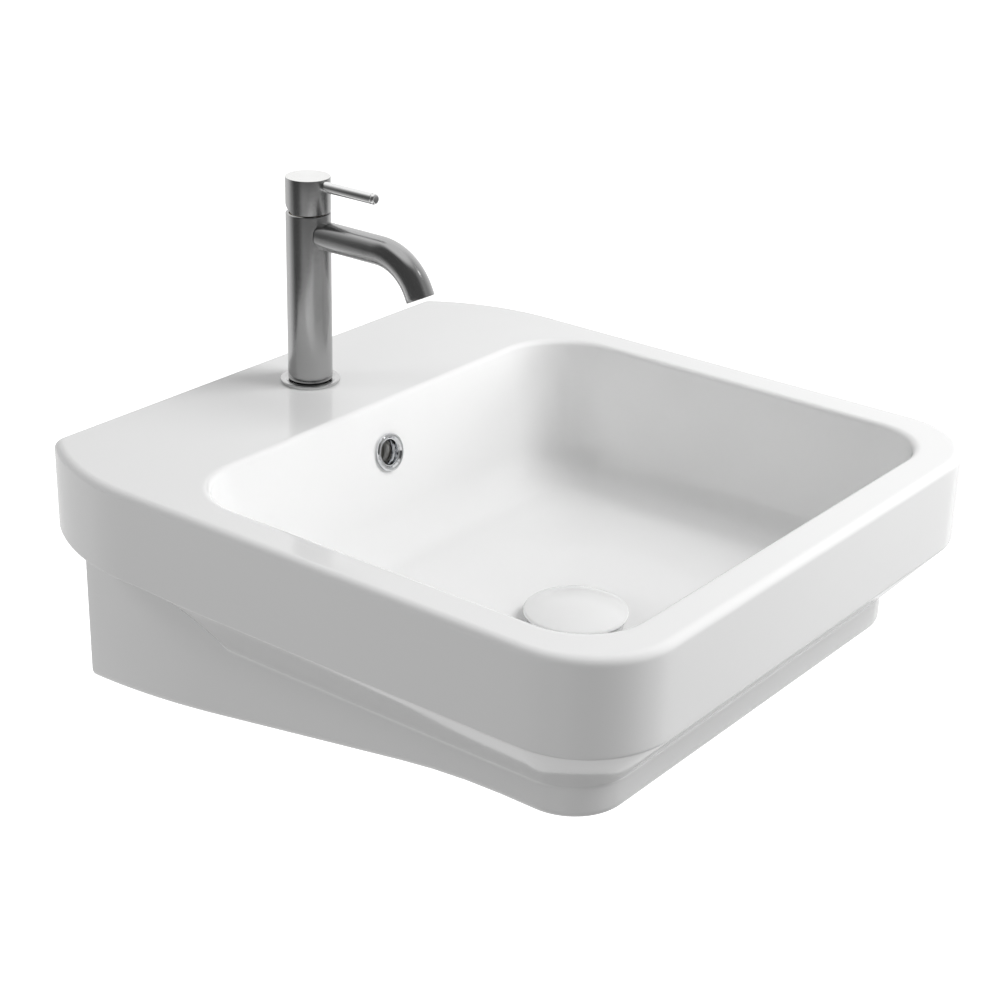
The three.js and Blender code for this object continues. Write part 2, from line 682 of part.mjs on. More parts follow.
// Stud, horseshoe washers and nut that clamp the tap from below the deck.
const studSolid = disc(stud.radius, deckZ(-stud.bottom), studTop, 16);
addTap("mounting_stud", placed(studSolid, 0, stud.offset), brass());
function horseshoe(low, high) {
  const plate = disc(clamp.outer, low, high);
  const slot = block(-clamp.slot, clamp.slot, -clamp.outer - 1, clamp.slotEnd, low - 1, high + 1);
  const hole = placed(disc(stud.radius + fitGap, low - 1, high + 1, 16), 0, stud.offset);
  return plate.subtract(slot).subtract(hole);
}
const rubberTop = deckZ(-basin.deck - seatGap);
const steelTop = rubberTop - clamp.rubber - seatGap;
const nutTop = steelTop - clamp.steel - seatGap;
addTap("deck_washer_rubber", horseshoe(rubberTop - clamp.rubber, rubberTop), rubber());
addTap("deck_washer_steel", horseshoe(steelTop - clamp.steel, steelTop), finish(0xaeb0b2, 0.4, 1));
const hexNut = disc(clamp.nut, nutTop - clamp.nutLength, nutTop, 6);
const nutBore = disc(stud.radius + 0.2, nutTop - clamp.nutLength - 1, nutTop + 1, 16);
addTap("mounting_nut", placed(hexNut.subtract(nutBore), 0, stud.offset), brass());

// ---------------------------------------------------------------- tap, moving pieces

const pinBore = (radius, half) => {
  const bar = new THREE.CylinderGeometry(radius, radius, 2 * half, 12).rotateZ(Math.PI / 2);
  return solid(bar.translate(0, 0, deckZ(lever.pivot)));
};

// The rotor turns in the housing and holds the pin that the stem tilts on.
const rotorLow = carrierTop + rotor.rise;
const stemSlot = lever.stem / 2 + fitGap;
const rotorSolid = turned([
  [0, deckZ(rotorLow)],
  [rotor.flange, deckZ(rotorLow)],
  [rotor.flange, deckZ(rotorLow + rotor.flangeHeight)],
  [rotor.neck, deckZ(rotorLow + rotor.flangeHeight)],
  [rotor.neck, deckZ(rotor.top)],
  [0, deckZ(rotor.top)],
])
  .subtract(block(-stemSlot, stemSlot, -rotor.slot, rotor.slot, deckZ(rotorLow - 1), deckZ(rotor.top + 1)))
  .subtract(pinBore(lever.pin + 0.1, rotor.neck + 1));
addTap("cartridge_rotor", rotorSolid, plastic(0x3c3f44));
addTap("stem_pin", pinBore(lever.pin, rotor.neck - 0.3), finish(0xb9bbbd, 0.3, 1));

// Moving disc and its carrier: they turn with the rotor and slide as the lever is lifted.
const movingBlank = placed(
  disc(cartridge.movingRadius, deckZ(movingLow), deckZ(carrierLow - seatGap)),
  0,
  cartridge.discOffset,
);
const mixChamber = block(-5.8, 5.8, 0.2, 7, deckZ(movingLow - 1), deckZ(movingLow + cartridge.mixDepth));
addTap("moving_disc", movingBlank.subtract(mixChamber), alumina());
const carrierBlank = placed(
  disc(cartridge.movingRadius, deckZ(carrierLow), deckZ(carrierTop)),
  0,
  cartridge.discOffset,
);
const ballHeight = lever.pivot - lever.ballDrop;
const ballSocket = disc(lever.ball + 0.5, deckZ(ballHeight - lever.ball - 0.2), deckZ(carrierTop + 1), 16);
addTap("disc_carrier", carrierBlank.subtract(ballSocket), plastic(0x8a8d90));

// Stem: ball end, thin neck and a square bar that the cap is clamped to.
const half = lever.stem / 2;
const stemSolid = solid(new THREE.SphereGeometry(lever.ball, 16, 10).translate(0, 0, deckZ(ballHeight)))
  .add(disc(lever.ballNeck, deckZ(ballHeight), deckZ(lever.stemFoot + 1), 12))
  .add(block(-half, half, -half, half, deckZ(lever.stemFoot), deckZ(lever.stemTop)))
  .subtract(pinBore(lever.pin + 0.15, half + 1));
addTap("cartridge_stem", stemSolid, finish(0xb9bbbd, 0.35, 1));

// Cap: same diameter as the column, hollow below, with a rising cut at the back that lets it tilt.
const capFoot = tap.top + lever.capGap;
const capTop = capFoot + lever.capHeight;
const cutRise = (tap.column + 2) * Math.tan(THREE.MathUtils.degToRad(lever.capCut));
const capCut = prismAlongX(
  [
    [0, deckZ(capFoot - 1)],
    [tap.column + 2, deckZ(capFoot - 1)],
    [tap.column + 2, deckZ(capFoot + cutRise)],
    [0, deckZ(capFoot)],
  ],
  tap.column + 2,
);
const socket = half + 0.15;
const capSolid = turned(
  [
    [0, deckZ(lever.cavityTop)],
    [lever.cavity, deckZ(lever.cavityTop)],
    [lever.cavity, deckZ(capFoot)],
    [tap.column, deckZ(capFoot)],
    [tap.column, deckZ(capTop - 0.5)],
    [tap.column - 0.5, deckZ(capTop)],
    [0, deckZ(capTop)],
  ],
  roundSteps,
)
  .subtract(capCut)
  .subtract(block(-socket, socket, -socket, socket, deckZ(lever.cavityTop - 1), deckZ(lever.stemTop + 0.3)))
  .subtract(crossBore(lever.rod + 0.2, 0, deckZ(lever.rodHeight), -lever.rodRoot + fitGap, -tap.column - 2))
  .subtract(crossBore(lever.grub + 0.1, 0, deckZ(lever.grubHeight), half, tap.column + 2, 12));
addTap("lever_cap", capSolid, brushed());

// Pin lever: a round rod with a groove near its rounded tip.
const rodSolid = turned([
  [0, lever.rodRoot],
  [lever.rod, lever.rodRoot],
  [lever.rod, lever.rodTip - 3.6],
  [lever.rod - lever.groove, lever.rodTip - 3.3],
  [lever.rod - lever.groove, lever.rodTip - 2.6],
  [lever.rod, lever.rodTip - 2.3],
  [lever.rod, lever.rodTip - 1],
  [lever.rod - 0.9, lever.rodTip],
  [0, lever.rodTip],
]);
addTap("lever_rod", placed(rodSolid, 0, 0, deckZ(lever.rodHeight), 90), brushed());
const grubStart = half + fitGap;
const grubEnd = grubStart + lever.grubLength;
const grubSolid = crossBore(lever.grub, 0, deckZ(lever.grubHeight), grubStart, grubEnd, 12);
const grubKey = crossBore(1.2, 0, deckZ(lever.grubHeight), grubEnd - 2.5, grubEnd + 1, 6);
addTap("lever_grub_screw", grubSolid.subtract(grubKey), finish(0x55585c, 0.4, 1));

// ---------------------------------------------------------------- waste

// Waste pieces are made about the waste's own axis, at their depth below the rim.
const flangeLow = waste.seat - seatGap - waste.gasket - seatGap;
const flangeTop = flangeLow - waste.flangeHeight;
const tubeFoot = flangeLow + waste.length;
const seatLow = rimZ(waste.seat - seatGap);
const seatRing = ring(waste.flange - 1, waste.tube + fitGap, seatLow, seatLow + waste.gasket, roundSteps);
addWaste("waste_top_gasket", seatRing, rubber());

let wasteBody = turned(
  [
    [waste.tube, rimZ(tubeFoot)],
    [waste.tube, rimZ(flangeLow)],
    [waste.flange, rimZ(flangeLow)],
    [waste.flange, rimZ(flangeTop + 0.6)],
    [waste.flange - 1.2, rimZ(flangeTop)],
    [waste.bore + 1.4, rimZ(flangeTop)],
    [waste.bore, rimZ(flangeTop + 1.4)],
    [waste.bore, rimZ(tubeFoot)],
  ],
  roundSteps,
);
const slotGeometry = new THREE.BoxGeometry(waste.slotWidth, 10, waste.slotHeight);
slotGeometry.translate(0, (waste.bore + waste.tube) / 2, rimZ(waste.slotTop + waste.slotHeight / 2));
for (let i = 0; i < 3; i++) {
  wasteBody = wasteBody.subtract(solid(slotGeometry.clone().rotateZ((i * 2 * Math.PI) / 3)));
}
const spiderLow = rimZ(waste.spider + waste.spiderHeight);
const spiderHigh = rimZ(waste.spider);
const reach = (waste.bore + waste.tube) / 2;
wasteBody = wasteBody
  .add(block(-reach, reach, -waste.arm / 2, waste.arm / 2, spiderLow, spiderHigh))
  .add(block(-waste.arm / 2, waste.arm / 2, -reach, reach, spiderLow, spiderHigh))
  .add(disc(waste.hub, spiderLow, spiderHigh))
  .subtract(disc(click.outer + 0.2, spiderLow - 1, spiderHigh + 1));
addWaste("waste_body", wasteBody, chrome());

const clickHousing = turned([
  [0, rimZ(click.foot)],
  [click.outer, rimZ(click.foot)],
  [click.outer, rimZ(waste.spider - seatGap)],
  [click.shoulder, rimZ(waste.spider - seatGap)],
  [click.shoulder, rimZ(waste.spider - seatGap - click.shoulderHeight)],
  [click.outer, rimZ(waste.spider - seatGap - click.shoulderHeight)],
  [click.outer, rimZ(click.top)],
  [plunger.rod + 0.4, rimZ(click.top)],
  [plunger.rod + 0.4, rimZ(click.top + click.collar)],
  [click.bore, rimZ(click.top + click.collar)],
  [click.bore, rimZ(click.foot - click.floor)],
  [0, rimZ(click.foot - click.floor)],
]);
addWaste("click_housing", clickHousing, brass());

// Coil spring under the plunger's foot.
class CoilPath extends THREE.Curve {
  getPoint(t, target = new THREE.Vector3()) {
    const low = rimZ(click.foot - click.floor) + spring.wire + seatGap;
    const high = rimZ(plunger.footTop + plunger.footHeight) - spring.wire - seatGap;
    const a = 2 * Math.PI * spring.turns * t;
    return target.set(spring.radius * Math.cos(a), spring.radius * Math.sin(a), low + (high - low) * t);
  }
}
const coil = new THREE.ExtrudeGeometry(new THREE.Shape().absarc(0, 0, spring.wire, 0, 2 * Math.PI), {
  steps: spring.turns * 10,
  curveSegments: 3,
  extrudePath: new CoilPath(),
});
addWaste("waste_spring", solid(coil), finish(0x9a9da0, 0.35, 1));

const gasketTop = waste.spotFace + seatGap;
const gasketLow = gasketTop + waste.lowerGasket;
const tubeHole = waste.tube + fitGap;
const lowerGasket = ring(waste.lowerGasketRadius, tubeHole, rimZ(gasketLow), rimZ(gasketTop), roundSteps);
addWaste("waste_bottom_gasket", lowerGasket, rubber());
const lockNut = disc(waste.nut, rimZ(gasketLow + seatGap + waste.nutHeight), rimZ(gasketLow + seatGap), 8);
const lockBore = disc(tubeHole, rimZ(below), rimZ(gasketLow), roundSteps);
addWaste("waste_lock_nut", lockNut.subtract(lockBore), brass());

// Raised cap and what hangs from it.
const domeFoot = cap.edgeDepth - cap.rimHeight;
const domePoints = [];
const domeSteps = 5;
for (let i = 0; i <= domeSteps; i++) {
  const r = (cap.radius - 0.3) * (1 - i / domeSteps);
  domePoints.push([r, rimZ(domeFoot - cap.dome * (1 - (r / cap.radius) ** 2))]);
}
const rodTopDepth = cap.recessDepth - cap.rodSocket;
const rodSocket = disc(plunger.rod + fitGap, rimZ(cap.recessDepth + 1), rimZ(rodTopDepth - 0.2), 16);
const capDome = turned(
  [
    [0, rimZ(cap.recessDepth)],
    [cap.recess, rimZ(cap.recessDepth)],
    [waste.flange + cap.play - 0.5, rimZ(cap.hollowDepth)],
    [waste.flange + cap.play, rimZ(cap.edgeDepth)],
    [cap.radius - 0.9, rimZ(cap.edgeDepth)],
    [cap.radius, rimZ(cap.edgeDepth - 0.9)],
    [cap.radius, rimZ(domeFoot + 0.4)],
    ...domePoints,
  ],
  roundSteps,
).subtract(rodSocket);
addWaste("waste_cap", capDome, ceramic());
const carrierHigh = rimZ(cap.recessDepth + seatGap);
const carrierFoot = carrierHigh - cap.carrierHeight;
const capCarrier = ring(cap.carrier, plunger.rod + fitGap, carrierFoot, carrierHigh);
addWaste("cap_carrier", capCarrier, plastic(0xf0f0ee));
const capSeal = ring(cap.recess - fitGap, cap.carrier + fitGap, carrierFoot + seatGap, carrierHigh);
addWaste("cap_seal", capSeal, rubber());
const plungerSolid = turned([
  [0, rimZ(plunger.footTop + plunger.footHeight)],
  [plunger.foot, rimZ(plunger.footTop + plunger.footHeight)],
  [plunger.foot, rimZ(plunger.footTop)],
  [plunger.rod, rimZ(plunger.footTop)],
  [plunger.rod, rimZ(rodTopDepth)],
  [0, rimZ(rodTopDepth)],
]);
addWaste("waste_plunger", plungerSolid, brass());

export default root;
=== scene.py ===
import math

import bmesh
import bpy
from mathutils import Matrix, Vector


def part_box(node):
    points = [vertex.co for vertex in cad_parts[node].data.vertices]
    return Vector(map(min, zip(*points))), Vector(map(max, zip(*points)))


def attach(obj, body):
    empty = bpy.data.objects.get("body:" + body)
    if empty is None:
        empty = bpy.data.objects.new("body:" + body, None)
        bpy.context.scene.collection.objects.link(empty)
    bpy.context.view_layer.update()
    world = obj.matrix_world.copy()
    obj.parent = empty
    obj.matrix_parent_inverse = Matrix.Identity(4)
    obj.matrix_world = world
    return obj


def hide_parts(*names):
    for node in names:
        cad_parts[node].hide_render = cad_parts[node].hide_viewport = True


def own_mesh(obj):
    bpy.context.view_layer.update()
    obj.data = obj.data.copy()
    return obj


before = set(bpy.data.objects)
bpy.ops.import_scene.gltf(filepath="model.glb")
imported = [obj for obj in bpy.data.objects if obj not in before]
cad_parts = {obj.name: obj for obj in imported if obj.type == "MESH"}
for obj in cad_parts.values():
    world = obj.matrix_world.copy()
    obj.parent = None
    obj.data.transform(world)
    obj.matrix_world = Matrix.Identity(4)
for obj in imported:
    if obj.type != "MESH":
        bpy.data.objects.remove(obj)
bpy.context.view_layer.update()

scene = bpy.context.scene

# --- Camera -----------------------------------------------------------------------------------
# A long lens at the left front corner, a little above the rim.
mm = 0.001
camera = bpy.data.objects.new("camera", bpy.data.cameras.new("camera"))
camera.data.sensor_width = 36
camera.data.lens = 77.93
yaw, pitch, roll = math.radians(-52.56), math.radians(24.03), math.radians(1.43)
back = Vector((math.sin(yaw) * math.cos(pitch), -math.cos(yaw) * math.cos(pitch), math.sin(pitch)))
level_right = Vector((math.cos(yaw), math.sin(yaw), 0))
level_up = back.cross(level_right)
right = math.cos(roll) * level_right + math.sin(roll) * level_up
up = math.cos(roll) * level_up - math.sin(roll) * level_right
stand = Matrix.Translation((-1.1808, -1.1541, 0.7149))
camera.matrix_world = stand @ Matrix((right, up, back)).transposed().to_4x4()
scene.collection.objects.link(camera)
scene.camera = camera

# --- Studio -----------------------------------------------------------------------------------
# A pale floor well below the hung basin, large soft lamps, and a sky that mirrors see as a ring of
# lighter and darker stretches, so that round metal shows bands.
scene.view_settings.view_transform = "Standard"


class Wire:
    """A shader socket that can be used in sums."""

    def __init__(self, tree, socket):
        self.tree, self.socket = tree, socket

    def math(self, operation, first, second):
        return add_node(self.tree, "ShaderNodeMath", {"operation": operation}, {0: first, 1: second})

    def __add__(self, other):
        return self.math("ADD", self, other)

    def __sub__(self, other):
        return self.math("SUBTRACT", self, other)

    def __rsub__(self, other):
        return self.math("SUBTRACT", other, self)

    def __mul__(self, other):
        return self.math("MULTIPLY", self, other)

    def __truediv__(self, other):
        return self.math("DIVIDE", self, other)

    __radd__ = __add__
    __rmul__ = __mul__


def add_node(tree, kind, settings=None, sockets=None, out=0):
    """One node: its settings are set first, then its sockets take values or links."""
    node = tree.nodes.new(kind)
    for key, value in (settings or {}).items():
        if key == "stops":
            ramp = node.color_ramp.elements
            while len(ramp) < len(value):
                ramp.new(0.5)
            for stop, (position, color) in zip(ramp, value):
                stop.position = position
                stop.color = (*color, 1) if isinstance(color, tuple) else (color, color, color, 1)
        else:
            setattr(node, key, value)
    for key, value in (sockets or {}).items():
        if isinstance(value, Wire):
            tree.links.new(value.socket, node.inputs[key])
        else:
            node.inputs[key].default_value = value
    return Wire(tree, node.outputs[out]) if out is not None else node


world = bpy.data.worlds.new("studio")
scene.world = world
world.use_nodes = True
sky = world.node_tree
sky.nodes.clear()
direction = add_node(sky, "ShaderNodeTexCoord").socket.node
outward = Wire(sky, direction.outputs["Generated"])
split = add_node(sky, "ShaderNodeSeparateXYZ", None, {0: outward}).socket.node
x, y, z = (Wire(sky, split.outputs[i]) for i in range(3))
bearing = x.math("ARCTAN2", x, y) / (2 * math.pi) + 0.5
# Brightness by bearing, in two belts: level with the metal's upright sides, and above it.
low_ring = add_node(
    sky,
    "ShaderNodeValToRGB",
    {
        "stops": [
            (0.0, 0.42),
            (0.146, 0.42),
            (0.21, 0.48),
            (0.265, 0.13),
            (0.34, 0.1),
            (0.39, 0.5),
            (0.45, 1.0),
            (0.78, 0.9),
            (0.84, 0.14),
            (0.92, 0.14),
            (0.96, 0.42),
        ]
    },
    {0: bearing},
)
high_ring = add_node(
    sky,
    "ShaderNodeValToRGB",
    {"stops": [(0.0, 0.22), (0.06, 0.1), (0.36, 0.08), (0.46, 0.9), (0.54, 1.0), (0.72, 1.0), (0.9, 0.35)]},
    {0: bearing},
)
horizon = add_node(
    sky,
    "ShaderNodeMapRange",
    {"interpolation_type": "SMOOTHSTEP"},
    {0: z, "From Min": -0.3, "From Max": 0.0, "To Min": 0.0, "To Max": 1.0},
)
zenith = add_node(
    sky,
    "ShaderNodeMapRange",
    {"interpolation_type": "SMOOTHSTEP"},
    {0: z, "From Min": 0.8, "From Max": 0.97, "To Min": 0.0, "To Max": 1.0},
)
overhead, ambient = 0.9, 0.33
around = low_ring * (1 - horizon) + high_ring * horizon * (1 - zenith) + overhead * zenith
path = add_node(sky, "ShaderNodeLightPath").socket.node
seen = Wire(sky, path.outputs["Is Camera Ray"])
mirrored_ray = Wire(sky, path.outputs["Is Glossy Ray"])
strength = around * mirrored_ray + ambient * (1 - mirrored_ray)
strength = strength * (1 - seen) + seen
glow = add_node(sky, "ShaderNodeBackground", None, {"Color": (1, 1, 1, 1), "Strength": strength})
add_node(sky, "ShaderNodeOutputWorld", None, {"Surface": glow}, out=None)


def lamp(name, place, aim, size, watts, in_reflections=False):
    """A soft rectangular lamp; only a small one may show in the glaze and the metal."""
    light = bpy.data.objects.new(name, bpy.data.lights.new(name, "AREA"))
    light.data.shape = "RECTANGLE"
    light.data.size, light.data.size_y = size
    light.data.energy = watts
    light.location = place
    light.rotation_euler = (Vector(place) - Vector(aim)).to_track_quat("Z", "Y").to_euler()
    light.visible_glossy = in_reflections
    scene.collection.objects.link(light)


lamp("key_lamp", (0.95, -1.4, 1.78), (0, -0.25, 0), (1.2, 1.2), 33.5)
lamp("front_lamp", (1.53, -1.78, 0.4), (0, -0.25, 0), (1.2, 1.0), 20)
lamp("left_lamp", (-1.6, -0.3, 0.3), (-0.2, -0.3, 0), (0.8, 0.8), 2.8)
lamp("sparkle_lamp", (0.9, -1.5, 1.75), (0, -0.25, 0), (0.25, 0.25), 0.6, True)
lamp("back_lamp", (-1.2, 1.2, 1.5), (0, -0.25, 0), (0.5, 0.5), 4)

floor_mesh = bpy.data.meshes.new("floor")
floor_level, floor_reach = -0.75, 20
grid = bmesh.new()
bmesh.ops.create_grid(grid, x_segments=1, y_segments=1, size=floor_reach)
bmesh.ops.translate(grid, vec=(0, 0, floor_level), verts=grid.verts)
grid.to_mesh(floor_mesh)
grid.free()
floor = bpy.data.objects.new("floor", floor_mesh)
scene.collection.objects.link(floor)
floor.visible_diffuse = False
floor.visible_glossy = False
pale = bpy.data.materials.new("pale_floor")
pale.use_nodes = True
paint = pale.node_tree.nodes["Principled BSDF"]
paint.inputs["Base Color"].default_value = (0.7, 0.7, 0.7, 1)
paint.inputs["Roughness"].default_value = 1
paint.inputs["Specular IOR Level"].default_value = 0
paint.inputs["Emission Color"].default_value = (1, 1, 1, 1)
paint.inputs["Emission Strength"].default_value = 1.1
floor_mesh.materials.append(pale)

# --- Basin ------------------------------------------------------------------------------------
# Slip-cast vitreous china, glazed white all over except the ground back and the hollow behind the
# bowl. It hangs on two bolts through the web at the back; the tap stands on its flat rear deck.
basin_low, basin_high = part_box("basin")
rim = basin_high.z
half_width = basin_high.x
depth_front = -basin_low.y
setback = 43 * mm


def middle_y(node):
    """Where a round node's axis stands, front to back."""
    low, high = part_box(node)
    return (low.y + high.y) / 2


drain_y, tap_y = middle_y("waste_body"), middle_y("deck_flange")


def on_arc(cx, cy, radius, start, end, steps):
    """Points on an arc between two angles in degrees, without its last."""
    angles = [math.radians(start + (end - start) * i / steps) for i in range(steps)]
    return [(cx + radius * math.cos(a), cy + radius * math.sin(a)) for a in angles]


def line(x0, y0, x1, y1, steps):
    """Points on a straight run, without its last."""
    return [(x0 + (x1 - x0) * i / steps, y0 + (y1 - y0) * i / steps) for i in range(steps)]


def mirrored(left):
    """A closed outline from its left half, which runs from the wall to the front."""
    return left + [(-x, y) for x, y in reversed(left[1:-1])]


def outer_plan(half, front, wall_half, sweep_radius, corner, wall_corner, wall_y):
    """Outline of the skirt or shroud in plan: flat at the wall, curved-in sides, round corners."""
    mid_y = -180 * mm
    sweep = math.acos(1 - (half - wall_half) / sweep_radius)
    cx, cy = -half + sweep_radius, wall_y - sweep_radius * math.sin(sweep)
    fy = wall_y - wall_corner
    fx = cx - math.sqrt((sweep_radius - wall_corner) ** 2 - (fy - cy) ** 2)
    join = math.degrees(math.atan2(fy - cy, fx - cx)) % 360
    left = line(0, wall_y, fx, wall_y, 10)
    left += on_arc(fx, fy, wall_corner, 90, join, 5)
    left += on_arc(cx, cy, sweep_radius, join, 180, 14)
    left += line(-half, cy, -half, mid_y, 10) + line(-half, mid_y, -half, -front + corner, 9)
    left += on_arc(-half + corner, -front + corner, corner, 180, 270, 20)
    left += line(-half + corner, -front, 0, -front, 10) + [(0, -front)]
    return mirrored(left)


def skirt_plan(inset, wall_inset=0.0):
    """The wide upper part, which frames the bowl."""
    return outer_plan(
        half=half_width - inset,
        front=depth_front - inset,
        wall_half=half_width - 35 * mm - inset,
        sweep_radius=180 * mm - inset,
        corner=68 * mm - inset,
        wall_corner=7 * mm,
        wall_y=-wall_inset,
    )


def body_plan(inset, wall_inset=0.0):
    """The narrower shroud below it."""
    return outer_plan(
        half=half_width - setback - inset,
        front=depth_front - setback - inset,
        wall_half=half_width - 57 * mm - inset,
        sweep_radius=810 * mm - inset,
        corner=42 * mm - inset,
        wall_corner=4 * mm,
        wall_y=-wall_inset,
    )


bowl_rear, rear_slope = 131 * mm, 0.218


def bowl_plan(depth, inset):
    """Outline of the bowl at a depth below the rim; the walls lean in."""
    side_slope, front_slope = 0.155, 0.14
    half = 219 * mm - side_slope * depth - inset
    front = 496 * mm - front_slope * depth - inset
    rear = bowl_rear + rear_slope * depth + inset
    lean = max(inset, 0) * 0.6 + 0.0775 * depth
    front_corner, rear_corner = 50 * mm - lean, 57 * mm - lean
    left = line(0, -rear, -half + rear_corner, -rear, 10)
    left += on_arc(-half + rear_corner, -rear - rear_corner, rear_corner, 90, 180, 19)
    left += line(-half, -rear - rear_corner, -half, -front + front_corner, 19)
    left += on_arc(-half + front_corner, -front + front_corner, front_corner, 180, 270, 20)
    left += line(-half + front_corner, -front, 0, -front, 10) + [(0, -front)]
    return mirrored(left)


def ease(t):
    """Goes from 0 to 1 with a soft start and end."""
    return t * t * (3 - 2 * t)


def between(a, b, t):
    """The outline at a share t of the way from one outline to another."""
    return [(p[0] + (q[0] - p[0]) * t, p[1] + (q[1] - p[1]) * t) for p, q in zip(a, b)]


def drain_plan(radius):
    """A circle round the drain whose points face those of the foot of the bowl."""
    foot = bowl_plan(86 * mm, 26 * mm)
    angles = [math.atan2(y - drain_y, x) for x, y in foot]
    return [(radius * math.cos(a), drain_y + radius * math.sin(a)) for a in angles]


def under(y):
    """Depth of the underside below the rim: it falls towards the wall from a level front."""
    level, fall, soft = 146 * mm, 0.1662, 45 * mm
    reach = -y - 372 * mm
    if reach < -soft:
        return level - fall * reach
    return level + (fall * (soft - reach) ** 2 / (4 * soft) if reach < soft else 0)


rings = []


def add_ring(plan, depth):
    """Adds one ring of the shell at a depth below the rim, or at depth(y)."""
    rings.append([(x, y, rim - (depth(y) if callable(depth) else depth)) for x, y in plan])


# From the deck over the rim, down the skirt, in along the band and down the shroud.
edge, wall_edge = 6 * mm, 3 * mm
deck_plan = skirt_plan(edge + 3 * mm, 5 * mm)
add_ring(deck_plan, 0)
add_ring(skirt_plan(edge + 1 * mm, 3.5 * mm), 0)
for i in range(9):
    a = math.radians(90 * i / 8)
    add_ring(skirt_plan(edge * (1 - math.sin(a)), wall_edge * (1 - math.sin(a))), edge * (1 - math.cos(a)))
add_ring(skirt_plan(0), edge + 1.5 * mm)
add_ring(skirt_plan(0), 40 * mm)
crease, crease_radius, band_fall = 70 * mm, 4.5 * mm, 51 * mm
band_turn = math.atan2(setback, band_fall)
tangent = crease_radius * math.tan(band_turn / 2)
band_top = crease - tangent
skirt_ring, body_ring = skirt_plan(0), body_plan(0)


def folded(depth):
    """A depth on the band, which is almost level near the wall and steep towards the front."""
    near, far, level = 120 * mm, 170 * mm, 0.37

    def at(y):
        t = min(max((-y - near) / (far - near), 0), 1)
        return band_top + (depth - band_top) * (level + (1 - level) * ease(t))

    return at


add_ring(skirt_ring, band_top - 2 * mm)
for i in range(7):
    a = band_turn * i / 6
    inward = crease_radius * (1 - math.cos(a))
    add_ring(between(skirt_ring, body_ring, inward / setback), folded(band_top + crease_radius * math.sin(a)))
for t in (0.2, 0.5, 0.8):
    add_ring(between(skirt_ring, body_ring, t), folded(crease + band_fall * t))
cove_radius = 7 * mm
cove = cove_radius * math.tan(band_turn / 2)
for i in range(7):
    a = band_turn * (1 - i / 6)
    inward = setback - cove_radius * (1 - math.cos(a))
    bottom = crease + band_fall + cove - cove_radius * math.sin(a)
    add_ring(between(skirt_ring, body_ring, inward / setback), folded(bottom))
band_foot = crease + band_fall + cove + 2 * mm
add_ring(body_ring, folded(band_foot))
foot_radius = 8 * mm
band_end = folded(band_foot)
for share in (0.35, 0.7):
    add_ring(body_ring, lambda y, s=share: band_end(y) + (under(y) - foot_radius - band_end(y)) * s)
for i in range(8):
    a = math.radians(90 * i / 7)
    inset, rise = foot_radius * (1 - math.cos(a)), foot_radius * (1 - math.sin(a))
    add_ring(body_plan(inset, inset * 0.3), lambda y, h=rise: under(y) - h)
# Underside, spot face, waste hole and seat.
foot_ring = body_plan(foot_radius + 2 * mm, foot_radius * 0.3 + 1 * mm)
spot_radius, spot_depth, hole_radius = 38 * mm, 145 * mm, 22.5 * mm
seat_radius, seat_depth, rim_depth = 36 * mm, 126 * mm, 125.6 * mm
around_spot = drain_plan(spot_radius + 2 * mm)
add_ring(foot_ring, under)
for t in (0.25, 0.5, 0.75):
    add_ring(between(foot_ring, around_spot, t), under)
add_ring(around_spot, under)
add_ring(drain_plan(spot_radius), under)
add_ring(drain_plan(spot_radius), spot_depth)
add_ring(drain_plan(hole_radius), spot_depth)
add_ring(drain_plan(hole_radius), seat_depth)
add_ring(drain_plan(seat_radius), seat_depth)
add_ring(drain_plan(seat_radius + 0.3 * mm), rim_depth)
add_ring(drain_plan(seat_radius + 3 * mm), rim_depth)
# Floor, fillet, leaning walls and the lip back to the deck.
floor_radius, lean = 34 * mm, math.radians(10.5)
floor_depth = 112 * mm
wall_foot = floor_depth - floor_radius * (1 - math.sin(lean))
sole = floor_radius * math.cos(lean)
foot, dish = bowl_plan(wall_foot, sole), drain_plan(46 * mm)
for i in range(13):
    t = i / 13
    add_ring(between(dish, foot, t), rim_depth - (rim_depth - floor_depth) * ease(t))
for i in range(11):
    a = math.radians(90) + (lean - math.radians(90)) * i / 10
    inset = floor_radius * (math.cos(lean) - math.cos(a))
    add_ring(bowl_plan(wall_foot, inset), wall_foot + floor_radius * (math.sin(a) - math.sin(lean)))
lip = 4.5 * mm
for depth in (70 * mm, 50 * mm, 30 * mm, 14 * mm, lip + 1.5 * mm):
    add_ring(bowl_plan(depth, 0), depth)
for i in range(9):
    a = math.radians(90 * i / 8)
    add_ring(bowl_plan(lip, -lip * (1 - math.cos(a))), lip * (1 - math.sin(a)))
add_ring(bowl_plan(lip, -lip - 1 * mm), 0)
add_ring(bowl_plan(lip, -lip - 3 * mm), 0)
add_ring(deck_plan, 0)


def shell_from(loops):
    """One closed skin: the first ring is extruded to each next one, and the last is welded to it."""
    skin = bmesh.new()
    current = [skin.verts.new(p) for p in loops[0]]
    edges = [skin.edges.new((current[i - 1], current[i])) for i in range(len(current))]
    for loop in loops[1:]:
        made = bmesh.ops.extrude_edge_only(skin, edges=edges)["geom"]
        fresh = {v for v in made if isinstance(v, bmesh.types.BMVert)}
        current = [next(e.other_vert(v) for e in v.link_edges if e.other_vert(v) in fresh) for v in current]
        for vert, place in zip(current, loop):
            vert.co = place
        edges = [e for e in made if isinstance(e, bmesh.types.BMEdge) and fresh.issuperset(e.verts)]
    bmesh.ops.remove_doubles(skin, verts=skin.verts, dist=1e-6)
    bmesh.ops.recalc_face_normals(skin, faces=skin.faces)
    return skin


